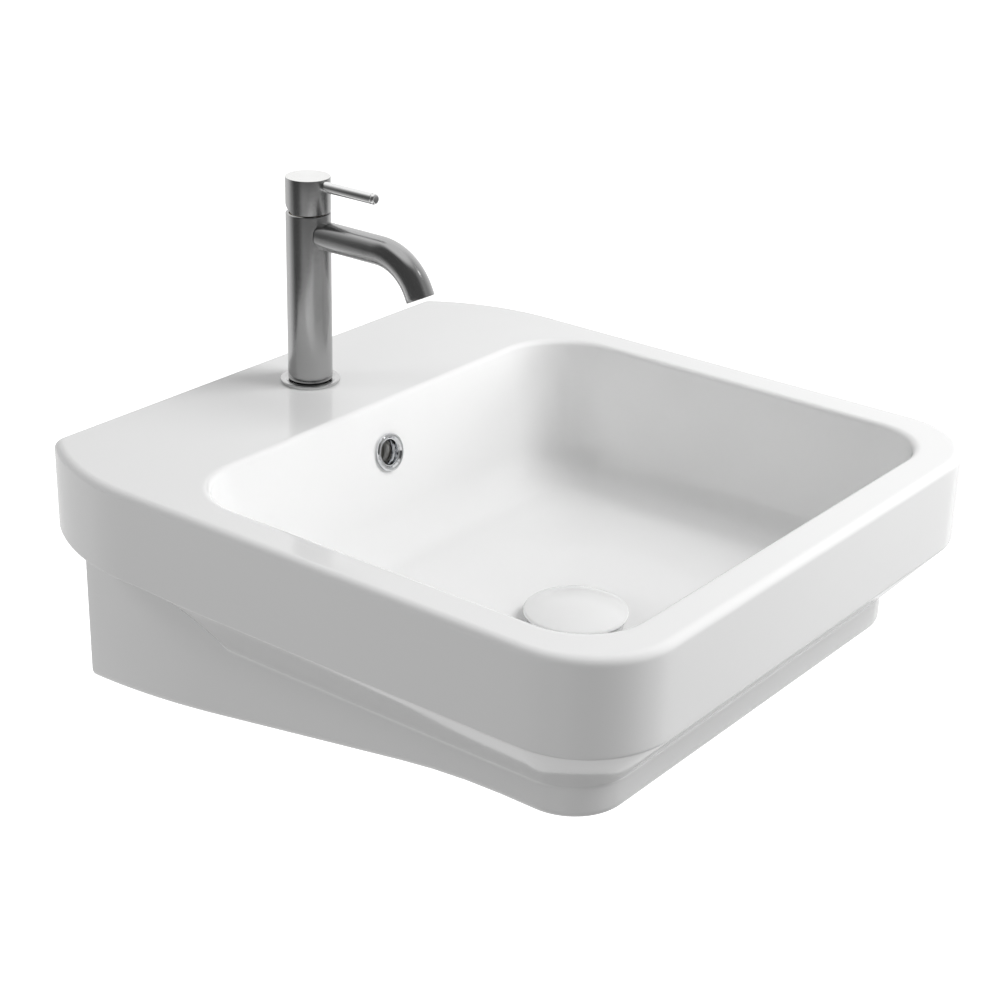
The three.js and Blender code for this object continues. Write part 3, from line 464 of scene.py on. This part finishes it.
def shade_smooth(shape):
    """Smooth everywhere except at the sharp edges."""
    sharp = math.radians(32)
    for face in shape.faces:
        face.smooth = True
    for side in shape.edges:
        side.smooth = len(side.link_faces) == 2 and side.calc_face_angle(0) < sharp


def piece(name, shape, body, stands_for, finish):
    """Makes an object of a finished bmesh and ties it to the frame."""
    shade_smooth(shape)
    mesh = bpy.data.meshes.new(name)
    shape.to_mesh(mesh)
    shape.free()
    mesh.materials.append(finish)
    made = bpy.data.objects.new(name, mesh)
    scene.collection.objects.link(made)
    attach(made, body)
    if stands_for:
        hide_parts(*stands_for)
    return made


def new_finish(name, color, roughness, metallic=0.0, **constants):
    """A material with its Principled shader; returns it, its tree and the shader."""
    material = bpy.data.materials.new(name)
    material.use_nodes = True
    tree = material.node_tree
    shader = tree.nodes["Principled BSDF"]
    shader.inputs["Base Color"].default_value = (*color, 1)
    shader.inputs["Roughness"].default_value = roughness
    shader.inputs["Metallic"].default_value = metallic
    for key, value in constants.items():
        shader.inputs[key.replace("_", " ")].default_value = value
    return material, tree, shader


def place_map(tree, scale=(1, 1, 1)):
    """Object coordinates through a Mapping node."""
    where = add_node(tree, "ShaderNodeTexCoord").socket.node.outputs["Object"]
    return add_node(tree, "ShaderNodeMapping", None, {0: Wire(tree, where), "Scale": scale})


def noise(tree, where, scale, detail=2.0, roughness=0.5):
    return add_node(
        tree,
        "ShaderNodeTexNoise",
        None,
        {"Vector": where, "Scale": scale, "Detail": detail, "Roughness": roughness},
    )


def tint(tree, factor, dark, light):
    """Mixes two colours by a factor."""
    first, second = (c if isinstance(c, Wire) else (*c, 1) for c in (dark, light))
    return add_node(tree, "ShaderNodeMix", {"data_type": "RGBA"}, {0: factor, 6: first, 7: second}, out=2)


def spread(tree, value, low, high, to_low, to_high):
    """Brings a value from one range to another."""
    return add_node(
        tree,
        "ShaderNodeMapRange",
        None,
        {0: value, "From Min": low, "From Max": high, "To Min": to_low, "To Max": to_high},
    )


def feed(tree, shader, name, wire):
    tree.links.new(wire.socket, shader.inputs[name])


def relief(tree, shader, height, distance, strength):
    sockets = {"Height": height, "Distance": distance, "Strength": strength}
    feed(tree, shader, "Normal", add_node(tree, "ShaderNodeBump", None, sockets))


glaze, tree, shader = new_finish("white_glaze", (0.9, 0.9, 0.9), 0.1, Specular_IOR_Level=0.4)
where = place_map(tree)
pooling = noise(tree, where, 6, 2)
feed(tree, shader, "Base Color", tint(tree, pooling, (0.872, 0.873, 0.872), (0.905, 0.906, 0.904)))
haze = noise(tree, where, 22, 3, 0.6)
feed(tree, shader, "Roughness", spread(tree, haze, 0.3, 0.7, 0.05, 0.09))
ripple = noise(tree, where, 14, 1) + 0.06 * noise(tree, where, 420, 1)
relief(tree, shader, ripple, 0.0005, 0.6)

bisque, tree, shader = new_finish("bare_china", (0.8, 0.78, 0.74), 0.75)
where = place_map(tree)
grain = noise(tree, where, 60, 5, 0.65)
feed(tree, shader, "Base Color", tint(tree, grain, (0.72, 0.7, 0.66), (0.84, 0.825, 0.79)))
feed(tree, shader, "Roughness", spread(tree, grain, 0.3, 0.7, 0.6, 0.85))
relief(tree, shader, noise(tree, where, 900, 3), 0.0004, 0.5)


def prism(outline, half, rounding=0.0):
    """A bar along X from an outline in the YZ plane, its edges eased."""
    bar = bmesh.new()
    corners = [bar.verts.new((-half, y, z)) for y, z in outline]
    face = bar.faces.new(corners)
    pushed = bmesh.ops.extrude_face_region(bar, geom=[face])["geom"]
    far_end = [v for v in pushed if isinstance(v, bmesh.types.BMVert)]
    bmesh.ops.translate(bar, vec=(2 * half, 0, 0), verts=far_end)
    bmesh.ops.recalc_face_normals(bar, faces=bar.faces)
    if rounding:
        bmesh.ops.bevel(
            bar, geom=bar.edges[:], offset=rounding, segments=4, profile=0.5, affect="EDGES", material=-1
        )
    return bar


def rod_tool(radius, start, end, steps=48):
    """A round bar between two points, used to cut a hole."""
    bar = bmesh.new()
    start, end = Vector(start), Vector(end)
    axis = end - start
    turn = Vector((0, 0, 1)).rotation_difference(axis).to_matrix().to_4x4()
    bmesh.ops.create_cone(
        bar, cap_ends=True, segments=steps, radius1=radius, radius2=radius, depth=axis.length,
        matrix=Matrix.Translation((start + end) / 2) @ turn,
    )
    return bar


def carve(target, tool, operation="DIFFERENCE", finish=None):
    """Cuts or joins a tool shape and keeps the result as the target's own mesh."""
    mesh = bpy.data.meshes.new("tool")
    tool.to_mesh(mesh)
    tool.free()
    if finish:
        mesh.materials.append(finish)
    cutter = bpy.data.objects.new("tool", mesh)
    scene.collection.objects.link(cutter)
    step = target.modifiers.new("carve", "BOOLEAN")
    step.operation, step.solver, step.object = operation, "EXACT", cutter
    step.material_mode = "TRANSFER"
    graph = bpy.context.evaluated_depsgraph_get()
    result = bpy.data.meshes.new_from_object(target.evaluated_get(graph))
    target.modifiers.remove(step)
    old = target.data
    target.data = result
    bpy.data.objects.remove(cutter)
    bpy.data.meshes.remove(old)


def mark_edges(target):
    """Marks the sharp edges again after cutting."""
    shape = bmesh.new()
    shape.from_mesh(target.data)
    shade_smooth(shape)
    shape.to_mesh(target.data)
    shape.free()


basin = piece("basin_shell", shell_from(rings), "sink", ("basin",), glaze)


def behind(depth, distance):
    """How far back a face lies that follows the bowl's rear wall at a distance behind it."""
    return -(bowl_rear + rear_slope * depth) + distance


# The hollow for the tap's tails and the trap, between the bowl, the web and the sides.
wall = 12 * mm
hollow = prism(
    [
        (-14 * mm, rim - 18 * mm),
        (-14 * mm, rim - 135 * mm),
        (30 * mm, rim - 135 * mm),
        (30 * mm, rim - 260 * mm),
        (-279 * mm, rim - 260 * mm),
        (-279 * mm, rim - 134 * mm),
        (-165 * mm, rim - 128 * mm),
        (behind(112 * mm, wall) - 4 * mm, rim - 124 * mm),
        (behind(112 * mm, wall), rim - 112 * mm),
        (behind(18 * mm, wall), rim - 18 * mm),
    ],
    half_width - 69 * mm,
    3 * mm,
)
carve(basin, hollow, finish=bisque)
# A rib down the bowl's back and floor, and in it the channel from the overflow to the waste.
rib = prism(
    [
        (behind(17 * mm, 24 * mm), rim - 17 * mm),
        (behind(17 * mm, 4 * mm), rim - 17 * mm),
        (behind(104 * mm, 3 * mm), rim - 104 * mm),
        (-160 * mm, rim - 116 * mm),
        (-281 * mm, rim - 127 * mm),
        (-281 * mm, rim - 146 * mm),
        (-152 * mm, rim - 136 * mm),
        (behind(116 * mm, 24 * mm), rim - 116 * mm),
    ],
    22 * mm,
)
carve(basin, rib, "UNION", bisque)
channel = prism(
    [
        (behind(26.5 * mm, 7 * mm), rim - 26.5 * mm),
        (behind(26.5 * mm, 16 * mm), rim - 26.5 * mm),
        (behind(112 * mm, 16 * mm), rim - 112 * mm),
        (-156 * mm, rim - 128 * mm),
        (drain_y + 20.5 * mm, rim - 138 * mm),
        (drain_y + 20.5 * mm, rim - 131 * mm),
        (-162 * mm, rim - 120 * mm),
        (behind(104 * mm, 7 * mm), rim - 104 * mm),
    ],
    14 * mm,
)
carve(basin, channel, finish=bisque)
# The holes: overflow, tap, and the two for the hanger bolts.
overflow_lean = math.atan(rear_slope)
overflow_depth = 39.5 * mm
overflow_centre = Vector((0, behind(overflow_depth, 0), rim - overflow_depth))
overflow_axis = Vector((0, -math.cos(overflow_lean), math.sin(overflow_lean)))
overflow_hole, tap_hole, bolt_hole, bolt_side = 11 * mm, 17.5 * mm, 11 * mm, 140 * mm
inner, outer = overflow_centre - 15 * mm * overflow_axis, overflow_centre + 5 * mm * overflow_axis
carve(basin, rod_tool(overflow_hole, inner, outer))
carve(basin, rod_tool(tap_hole, (0, tap_y, rim - 30 * mm), (0, tap_y, rim + 10 * mm)))
for side in (-bolt_side, bolt_side):
    carve(basin, rod_tool(bolt_hole, (side, -30 * mm, 0), (side, 10 * mm, 0)), finish=bisque)
mark_edges(basin)
# The faces ground flat against the wall are bare.
for face in basin.data.polygons:
    if face.normal.y > 0.99 and face.center.y > -0.2 * mm:
        face.material_index = basin.data.materials.find("bare_china")

# --- Overflow ring ----------------------------------------------------------------------------
# A pressed chrome ring with a rolled rim; its sleeve pushes into the hole in the bowl's rear wall.


def soften(corners):
    """A profile from (radius, height, rounding) corners, each rounded by an arc."""
    points, steps = [], 5
    for i, corner in enumerate(corners):
        here = Vector(corner[:2])
        rounding = corner[2] if len(corner) > 2 else 0
        if not rounding or i in (0, len(corners) - 1):
            points.append(here)
            continue
        to_last = (Vector(corners[i - 1][:2]) - here).normalized()
        to_next = (Vector(corners[i + 1][:2]) - here).normalized()
        angle = to_last.angle(to_next)
        reach = rounding / math.tan(angle / 2)
        middle = here + (to_last + to_next).normalized() * (rounding / math.sin(angle / 2))
        first, last = here + to_last * reach - middle, here + to_next * reach - middle
        turn = first.angle_signed(last)
        for k in range(steps + 1):
            a = -turn * k / steps
            points.append(middle + Vector((
                first.x * math.cos(a) - first.y * math.sin(a),
                first.x * math.sin(a) + first.y * math.cos(a),
            )))
    return points


def turned(corners, place, axis=(0, 0, 1), steps=96):
    """Spins a profile of (radius, height) in millimetres about an axis through a place in metres."""
    lathe = bmesh.new()
    points = [lathe.verts.new((p.x * mm, 0, p.y * mm)) for p in soften(corners)]
    edges = [lathe.edges.new(pair) for pair in zip(points, points[1:])]
    if points[0].co.x > 1e-7:
        edges.append(lathe.edges.new((points[-1], points[0])))
    bmesh.ops.spin(
        lathe, geom=points + edges, cent=(0, 0, 0), axis=(0, 0, 1), dvec=(0, 0, 0),
        angle=2 * math.pi, steps=steps, use_merge=True,
    )
    bmesh.ops.remove_doubles(lathe, verts=lathe.verts, dist=1e-7)
    bmesh.ops.recalc_face_normals(lathe, faces=lathe.faces)
    turn = Vector((0, 0, 1)).rotation_difference(Vector(axis)).to_matrix().to_4x4()
    bmesh.ops.transform(lathe, matrix=Matrix.Translation(place) @ turn, verts=lathe.verts)
    return lathe


chrome, tree, shader = new_finish("polished_chrome", (0.74, 0.75, 0.77), 0.06, 1.0)
where = place_map(tree)
wipe = noise(tree, where, 90, 3, 0.6)
feed(tree, shader, "Roughness", spread(tree, wipe, 0.3, 0.75, 0.04, 0.11))
feed(tree, shader, "Base Color", tint(tree, wipe, (0.7, 0.71, 0.73), (0.78, 0.79, 0.8)))

piece(
    "overflow_trim",
    turned(
        [
            (10.7, -12), (10.7, 0.1), (15, 0.1, 0.1), (15, 2.5, 0.9), (13.7, 3.3, 0.6), (12.3, 3.1, 0.5),
            (11.2, 1.6, 0.5), (10.1, 1.2, 0.5), (9.6, -1.5, 0.3), (8.5, -3.5), (8.5, -12),
        ],
        overflow_centre,
        overflow_axis,
        72,
    ),
    "sink",
    ("overflow_ring",),
    chrome,
)

# --- Tap column and foot ----------------------------------------------------------------------
# Stainless steel bar, turned, bored for the cartridge and brushed round its length. It stands on a
# thin dished foot ring with a rubber gasket under it.
tap = Vector((0, tap_y, rim))


def brushed_steel(name, across, tone, rough, grain=0.0):
    """Steel with fine brush lines; across is the scale of the lines along X, Y and Z."""
    material, tree, shader = new_finish(name, (tone, tone, tone), 0.3, 1.0, Anisotropic=grain)
    where = place_map(tree, across)
    lines = noise(tree, where, 1.0, 3, 0.7)
    broad = noise(tree, place_map(tree), 35, 2)
    feed(tree, shader, "Roughness", spread(tree, lines * 0.7 + broad * 0.3, 0.3, 0.7, *rough))
    dark, light = tone * 0.86, tone * 1.1
    feed(tree, shader, "Base Color", tint(tree, lines, (dark, dark, dark), (light, light, light)))
    relief(tree, shader, lines, 0.00006, 0.35)
    return material


round_brushed = brushed_steel("steel_brushed_round", (30, 30, 4200), 0.44, (0.17, 0.26), 0.5)
piece(
    "tap_column",
    turned(
        [
            (0, -14), (15.5, -14, 0.4), (15.5, 3.2), (17.5, 3.2, 0.3), (17.5, 137.4, 0.35),
            (15, 137.4, 0.2), (15, 101), (0, 101),
        ],
        tap,
    ),
    "sink",
    ("tap_body",),
    round_brushed,
)
foot_steel = brushed_steel("steel_foot_ring", (60, 60, 60), 0.62, (0.12, 0.2))
piece(
    "tap_foot_ring",
    turned(
        [
            (17, 0.3), (17.4, 0.3), (17.4, 1.4), (21.8, 1.4), (21.8, 0.3), (23.5, 0.3, 0.15),
            (23.5, 2.7, 0.6), (20.4, 2.7, 0.5), (18.6, 1.7, 0.5), (17, 1.7),
        ],
        tap,
    ),
    "sink",
    ("deck_flange",),
    foot_steel,
)

# --- Spout ------------------------------------------------------------------------------------
# Stainless tube, bent cold on a round former and brazed into the side of the column. A small
# aerator is pressed into its mouth.


def swept_spout(outer, bore, height, root, straight, bend, turn, tail):
    """A tube that leaves level along -Y, bends down and ends in a rounded mouth.

    Gives its mesh, the middle of its mouth, and the direction in which the water leaves.
    """
    tube = bmesh.new()
    start = Vector((0, -root, height))
    bmesh.ops.create_circle(
        tube, cap_ends=True, segments=64, radius=outer,
        matrix=Matrix.Translation(start) @ Matrix.Rotation(math.radians(90), 4, "X"),
    )
    edges = tube.edges[:]

    def pull(offset=None, squeeze=None, centre=None):
        """Draws the open end on by an offset, a change of size about a centre, or both."""
        nonlocal edges
        fresh = bmesh.ops.extrude_edge_only(tube, edges=edges)["geom"]
        verts = [v for v in fresh if isinstance(v, bmesh.types.BMVert)]
        edges = [
            e for e in fresh
            if isinstance(e, bmesh.types.BMEdge) and e.verts[0] in verts and e.verts[1] in verts
        ]
        if offset:
            bmesh.ops.translate(tube, vec=offset, verts=verts)
        if squeeze:
            bmesh.ops.scale(tube, vec=(squeeze,) * 3, space=Matrix.Translation(-centre), verts=verts)

    run = straight - root
    for _ in range(3):
        pull(Vector((0, -run / 3, 0)))
    centre, a = Vector((0, -straight, height - bend)), math.radians(turn)
    verts = list({v for e in edges for v in e.verts})
    spun = bmesh.ops.spin(
        tube, geom=verts + edges, cent=centre, axis=(1, 0, 0), dvec=(0, 0, 0),
        angle=a, steps=26, use_merge=False,
    )["geom_last"]
    edges = [e for e in spun if isinstance(e, bmesh.types.BMEdge)]
    along = Vector((0, -math.cos(a), -math.sin(a)))
    mouth = centre + bend * Vector((0, -math.sin(a), math.cos(a)))
    rounding, chamfer, bore_depth = 0.5 * mm, 0.3 * mm, 11 * mm
    pull(along * tail * 0.5)
    pull(along * (tail * 0.5 - rounding))
    mouth = mouth + along * tail
    size, last = outer, 0
    for step in range(1, 5):
        b = math.radians(90 * step / 4)
        target = outer - rounding * (1 - math.cos(b))
        at = mouth - along * (rounding * (1 - math.sin(b)))
        pull(along * (rounding * (math.sin(b) - last)), target / size, at)
        size, last = target, math.sin(b)
    pull(None, (bore + chamfer) / size, mouth)
    pull(along * -chamfer, bore / (bore + chamfer), mouth - along * chamfer)
    pull(along * -bore_depth)
    bmesh.ops.edgeloop_fill(tube, edges=edges)
    bmesh.ops.remove_doubles(tube, verts=tube.verts, dist=1e-7)
    bmesh.ops.recalc_face_normals(tube, faces=tube.faces)
    return tube, mouth, along


tube, mouth, along = swept_spout(
    outer=11.2 * mm,
    bore=9.2 * mm,
    height=122 * mm,
    root=15.4 * mm,
    straight=72.3 * mm,
    bend=42 * mm,
    turn=64,
    tail=6.3 * mm,
)
bmesh.ops.translate(tube, vec=tap, verts=tube.verts)
mouth = mouth + tap
spout_steel = brushed_steel("steel_brushed_tube", (1500, 45, 45), 0.5, (0.16, 0.24))
piece("spout", tube, "sink", ("spout_tube",), spout_steel)
piece(
    "aerator_ring",
    turned(
        [(8.9, -6.5), (8.9, -1, 0.2), (6.5, -1, 0.2), (6.5, -1.8), (7.3, -1.8), (7.3, -6.5)],
        mouth,
        along,
        48,
    ),
    "sink",
    ("aerator_housing",),
    chrome,
)

# --- Lever ------------------------------------------------------------------------------------
# A turned steel cap, hollow below and cut away at the back so that it can tilt, with a round pin
# lever pressed into its front. A grub screw at the back clamps it on the cartridge's square stem.
cap_foot, cap_top = 138.8, 166.0
cap = turned(
    [
        (0, 152.5), (13, 152.5), (13, cap_foot), (17.5, cap_foot, 0.25), (17.5, cap_top, 0.4), (0, cap_top),
    ],
    tap,
)
# The back of the foot is cut away on a slope.
slope = math.radians(27)
bmesh.ops.bisect_plane(
    cap,
    geom=cap.verts[:] + cap.edges[:] + cap.faces[:],
    dist=1e-7,
    plane_co=tap + Vector((0, 0, (cap_foot - 0.02) * mm)),
    plane_no=(0, math.sin(slope), -math.cos(slope)),
    clear_outer=True,
)
open_edges = [e for e in cap.edges if e.is_boundary]
bmesh.ops.triangle_fill(cap, use_beauty=True, use_dissolve=False, edges=open_edges)
bmesh.ops.recalc_face_normals(cap, faces=cap.faces)
cap_steel = brushed_steel("steel_brushed_cap", (30, 30, 4200), 0.42, (0.17, 0.26), 0.5)
tree = cap_steel.node_tree
shader = tree.nodes["Principled BSDF"]
side_color = Wire(tree, shader.inputs["Base Color"].links[0].from_socket)
where = place_map(tree)
# The flat top is painted near white over the brushed side colour: a painted highlight for the bright sky it
# mirrors.
level = add_node(tree, "ShaderNodeSeparateXYZ", None, {0: where}, out=2)
top_highlight = spread(tree, level, rim + (cap_top - 0.2) * mm, rim + (cap_top - 0.05) * mm, 0, 1)
feed(tree, shader, "Base Color", tint(tree, top_highlight, side_color, (0.9, 0.9, 0.89)))
lever_cap = piece("lever_head", cap, "lever_lift", ("lever_cap",), cap_steel)
screw_start, screw_end = tap + Vector((0, 8 * mm, 156 * mm)), tap + Vector((0, 25 * mm, 156 * mm))
carve(lever_cap, rod_tool(2.6 * mm, screw_start, screw_end, 32))
mark_edges(lever_cap)
pin_steel = brushed_steel("steel_pin", (45, 2600, 45), 0.92, (0.1, 0.16))
piece(
    "lever_pin",
    turned(
        [
            (0, 8.6), (4.25, 8.6), (4.25, 65.4, 0.1), (3.85, 65.7, 0.1), (3.85, 66.2, 0.1),
            (4.25, 66.5, 0.1), (4.25, 69, 1.7), (0, 69),
        ],
        tap + Vector((0, 0, 160.6 * mm)),
        (0, -1, 0),
        64,
    ),
    "lever_lift",
    ("lever_rod",),
    pin_steel,
)

# --- Inside the tap ---------------------------------------------------------------------------
# Moulded cartridge shell with two lapped ceramic discs, its steel stem and pin, and a brass ring
# nut that holds it down. They are nearly hidden in the column.


def plain_finish(name, dark, light, rough, metallic=0.0):
    """A plain moulded, turned or rubber surface with a little variation."""
    material, tree, shader = new_finish(name, light, sum(rough) / 2, metallic)
    where = place_map(tree)
    mottle = noise(tree, where, 120, 3, 0.6)
    feed(tree, shader, "Base Color", tint(tree, mottle, dark, light))
    feed(tree, shader, "Roughness", spread(tree, mottle, 0.3, 0.7, *rough))
    relief(tree, shader, noise(tree, where, 1080, 2), 0.00004, 0.6)
    return material


def repaint(material, *names):
    """Gives carried-over CAD nodes a finish."""
    for name in names:
        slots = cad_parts[name].data.materials
        slots.clear()
        slots.append(material)


moulded = plain_finish("moulded_white", (0.7, 0.7, 0.67), (0.8, 0.8, 0.77), (0.4, 0.55))
moulded_dark = plain_finish("moulded_grey", (0.05, 0.053, 0.06), (0.09, 0.093, 0.1), (0.4, 0.55))
lapped = plain_finish("lapped_ceramic", (0.8, 0.79, 0.75), (0.88, 0.87, 0.84), (0.18, 0.3))
turned_brass = plain_finish("turned_brass", (0.55, 0.4, 0.2), (0.66, 0.5, 0.27), (0.22, 0.38), 1.0)
plain_steel = plain_finish("plain_steel", (0.42, 0.43, 0.44), (0.55, 0.56, 0.57), (0.25, 0.4), 1.0)
black_rubber = plain_finish("black_rubber", (0.012, 0.012, 0.013), (0.025, 0.025, 0.027), (0.6, 0.8))
repaint(moulded, "cartridge_base", "cartridge_housing", "aerator_insert", "cap_carrier")
repaint(moulded_dark, "cartridge_rotor", "disc_carrier")
repaint(lapped, "fixed_disc", "moving_disc")
# The ring nut is painted almost black: painted shade for the gap under the lever cap where it shows.
brass_painted_dark = plain_finish("brass_painted_dark", (0.1, 0.075, 0.04), (0.16, 0.12, 0.07), (0.45, 0.6), 1.0)
repaint(brass_painted_dark, "cartridge_nut")
repaint(turned_brass, "mounting_stud", "mounting_nut", "click_housing", "waste_plunger")
repaint(plain_steel, "stem_pin", "cartridge_stem", "lever_grub_screw", "deck_washer_steel")
repaint(
    black_rubber, "deck_gasket", "aerator_seal", "inlet_seal_left", "inlet_seal_right", "deck_washer_rubber",
    "cap_seal", "waste_top_gasket", "waste_bottom_gasket",
)

# --- Waste body and nut -----------------------------------------------------------------------
# Chromed brass tube with a flange on the seat, a fine thread outside and a hub on four arms inside.
# A brass nut below draws it down on a rubber gasket.
drain = Vector((0, drain_y, rim))
tail_low = (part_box("waste_body")[0].z - rim) / mm
pitch, thread_top, thread_root, thread_crest = 2.309, -153.0, 20.1, 20.8
level = tail_low + 1.5
thread = [(thread_root, level)]
while level < thread_top:
    thread += [(thread_crest, level + pitch * 0.4), (thread_crest, level + pitch * 0.6)]
    level += pitch
    thread.append((thread_root, level))
flange = [
    (thread_crest, level + 0.6), (thread_crest, -124.6), (32, -124.6), (32, -123.15, 0.7),
    (19.4, -123.15, 0.5), (18, -124.5, 0.5),
]
tube = turned([(18, tail_low), (20, tail_low)] + thread + flange, drain, steps=72)
piece("waste_tube", tube, "sink", ("waste_body",), chrome)
spider = bmesh.new()
for turn in (0, 90):
    bmesh.ops.create_cube(
        spider, size=1,
        matrix=Matrix.Translation(drain + Vector((0, 0, -152 * mm)))
        @ Matrix.Rotation(math.radians(turn), 4, "Z")
        @ Matrix.Diagonal((37 * mm, 4 * mm, 4 * mm, 1)),
    )
bmesh.ops.bevel(
    spider, geom=spider.edges[:], offset=0.5 * mm, segments=2, profile=0.5, affect="EDGES", material=-1
)
piece("waste_arms", spider, "sink", (), chrome)
nut = turned(
    [(21.1, -162.2), (28.2, -162.2, 0.8), (29, -160.8), (29, -152.8), (28.2, -151.3, 0.8), (21.1, -151.3)],
    drain,
    steps=72,
)
piece("waste_nut", nut, "sink", ("waste_lock_nut",), turned_brass)

# --- Waste spring -----------------------------------------------------------------------------
# Coiled spring-steel wire under the plunger, built at full length with a mesh of its own.
wire, coil_radius, coils, coil_steps = 0.6 * mm, 4.4 * mm, 6, 24
seat_height, coil_top, press = -63.3 * mm, -38.5 * mm, 6 * mm
spring = bmesh.new()
wire_start = Matrix.Translation((coil_radius, drain_y, seat_height))
bmesh.ops.create_circle(
    spring, cap_ends=False, segments=10, radius=wire,
    matrix=wire_start @ Matrix.Rotation(math.radians(90), 4, "X"),
)
bmesh.ops.spin(
    spring, geom=spring.verts[:] + spring.edges[:], cent=(0, drain_y, 0), axis=(0, 0, 1),
    dvec=(0, 0, (coil_top - seat_height) / (coils * coil_steps)),
    angle=2 * math.pi * coils, steps=coils * coil_steps, use_merge=False,
)
bmesh.ops.holes_fill(spring, edges=[e for e in spring.edges if e.is_boundary], sides=10)
bmesh.ops.recalc_face_normals(spring, faces=spring.faces)
coil = piece("waste_coil", spring, "sink", ("waste_spring",), plain_steel)
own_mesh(coil)

# --- Waste cap --------------------------------------------------------------------------------
# Glazed china dome on a plastic carrier. Pressed down it closes on its seal; pressed again it rises.
cap_radius, brim, rise = 39.5, -115.5, 8.5
crown = [
    (0, -113.9), (28, -113.9), (32.5, -116.5), (33, -118.5), (cap_radius, -118.5, 1.0),
    (cap_radius, -115.4, 2.2),
]
for i in range(1, 9):
    r = cap_radius * (1 - i / 8)
    crown.append((r, brim + rise * (1 - (r / cap_radius) ** 2)))
piece("waste_dome", turned(crown, drain), "waste_plug", ("waste_cap",), glaze)
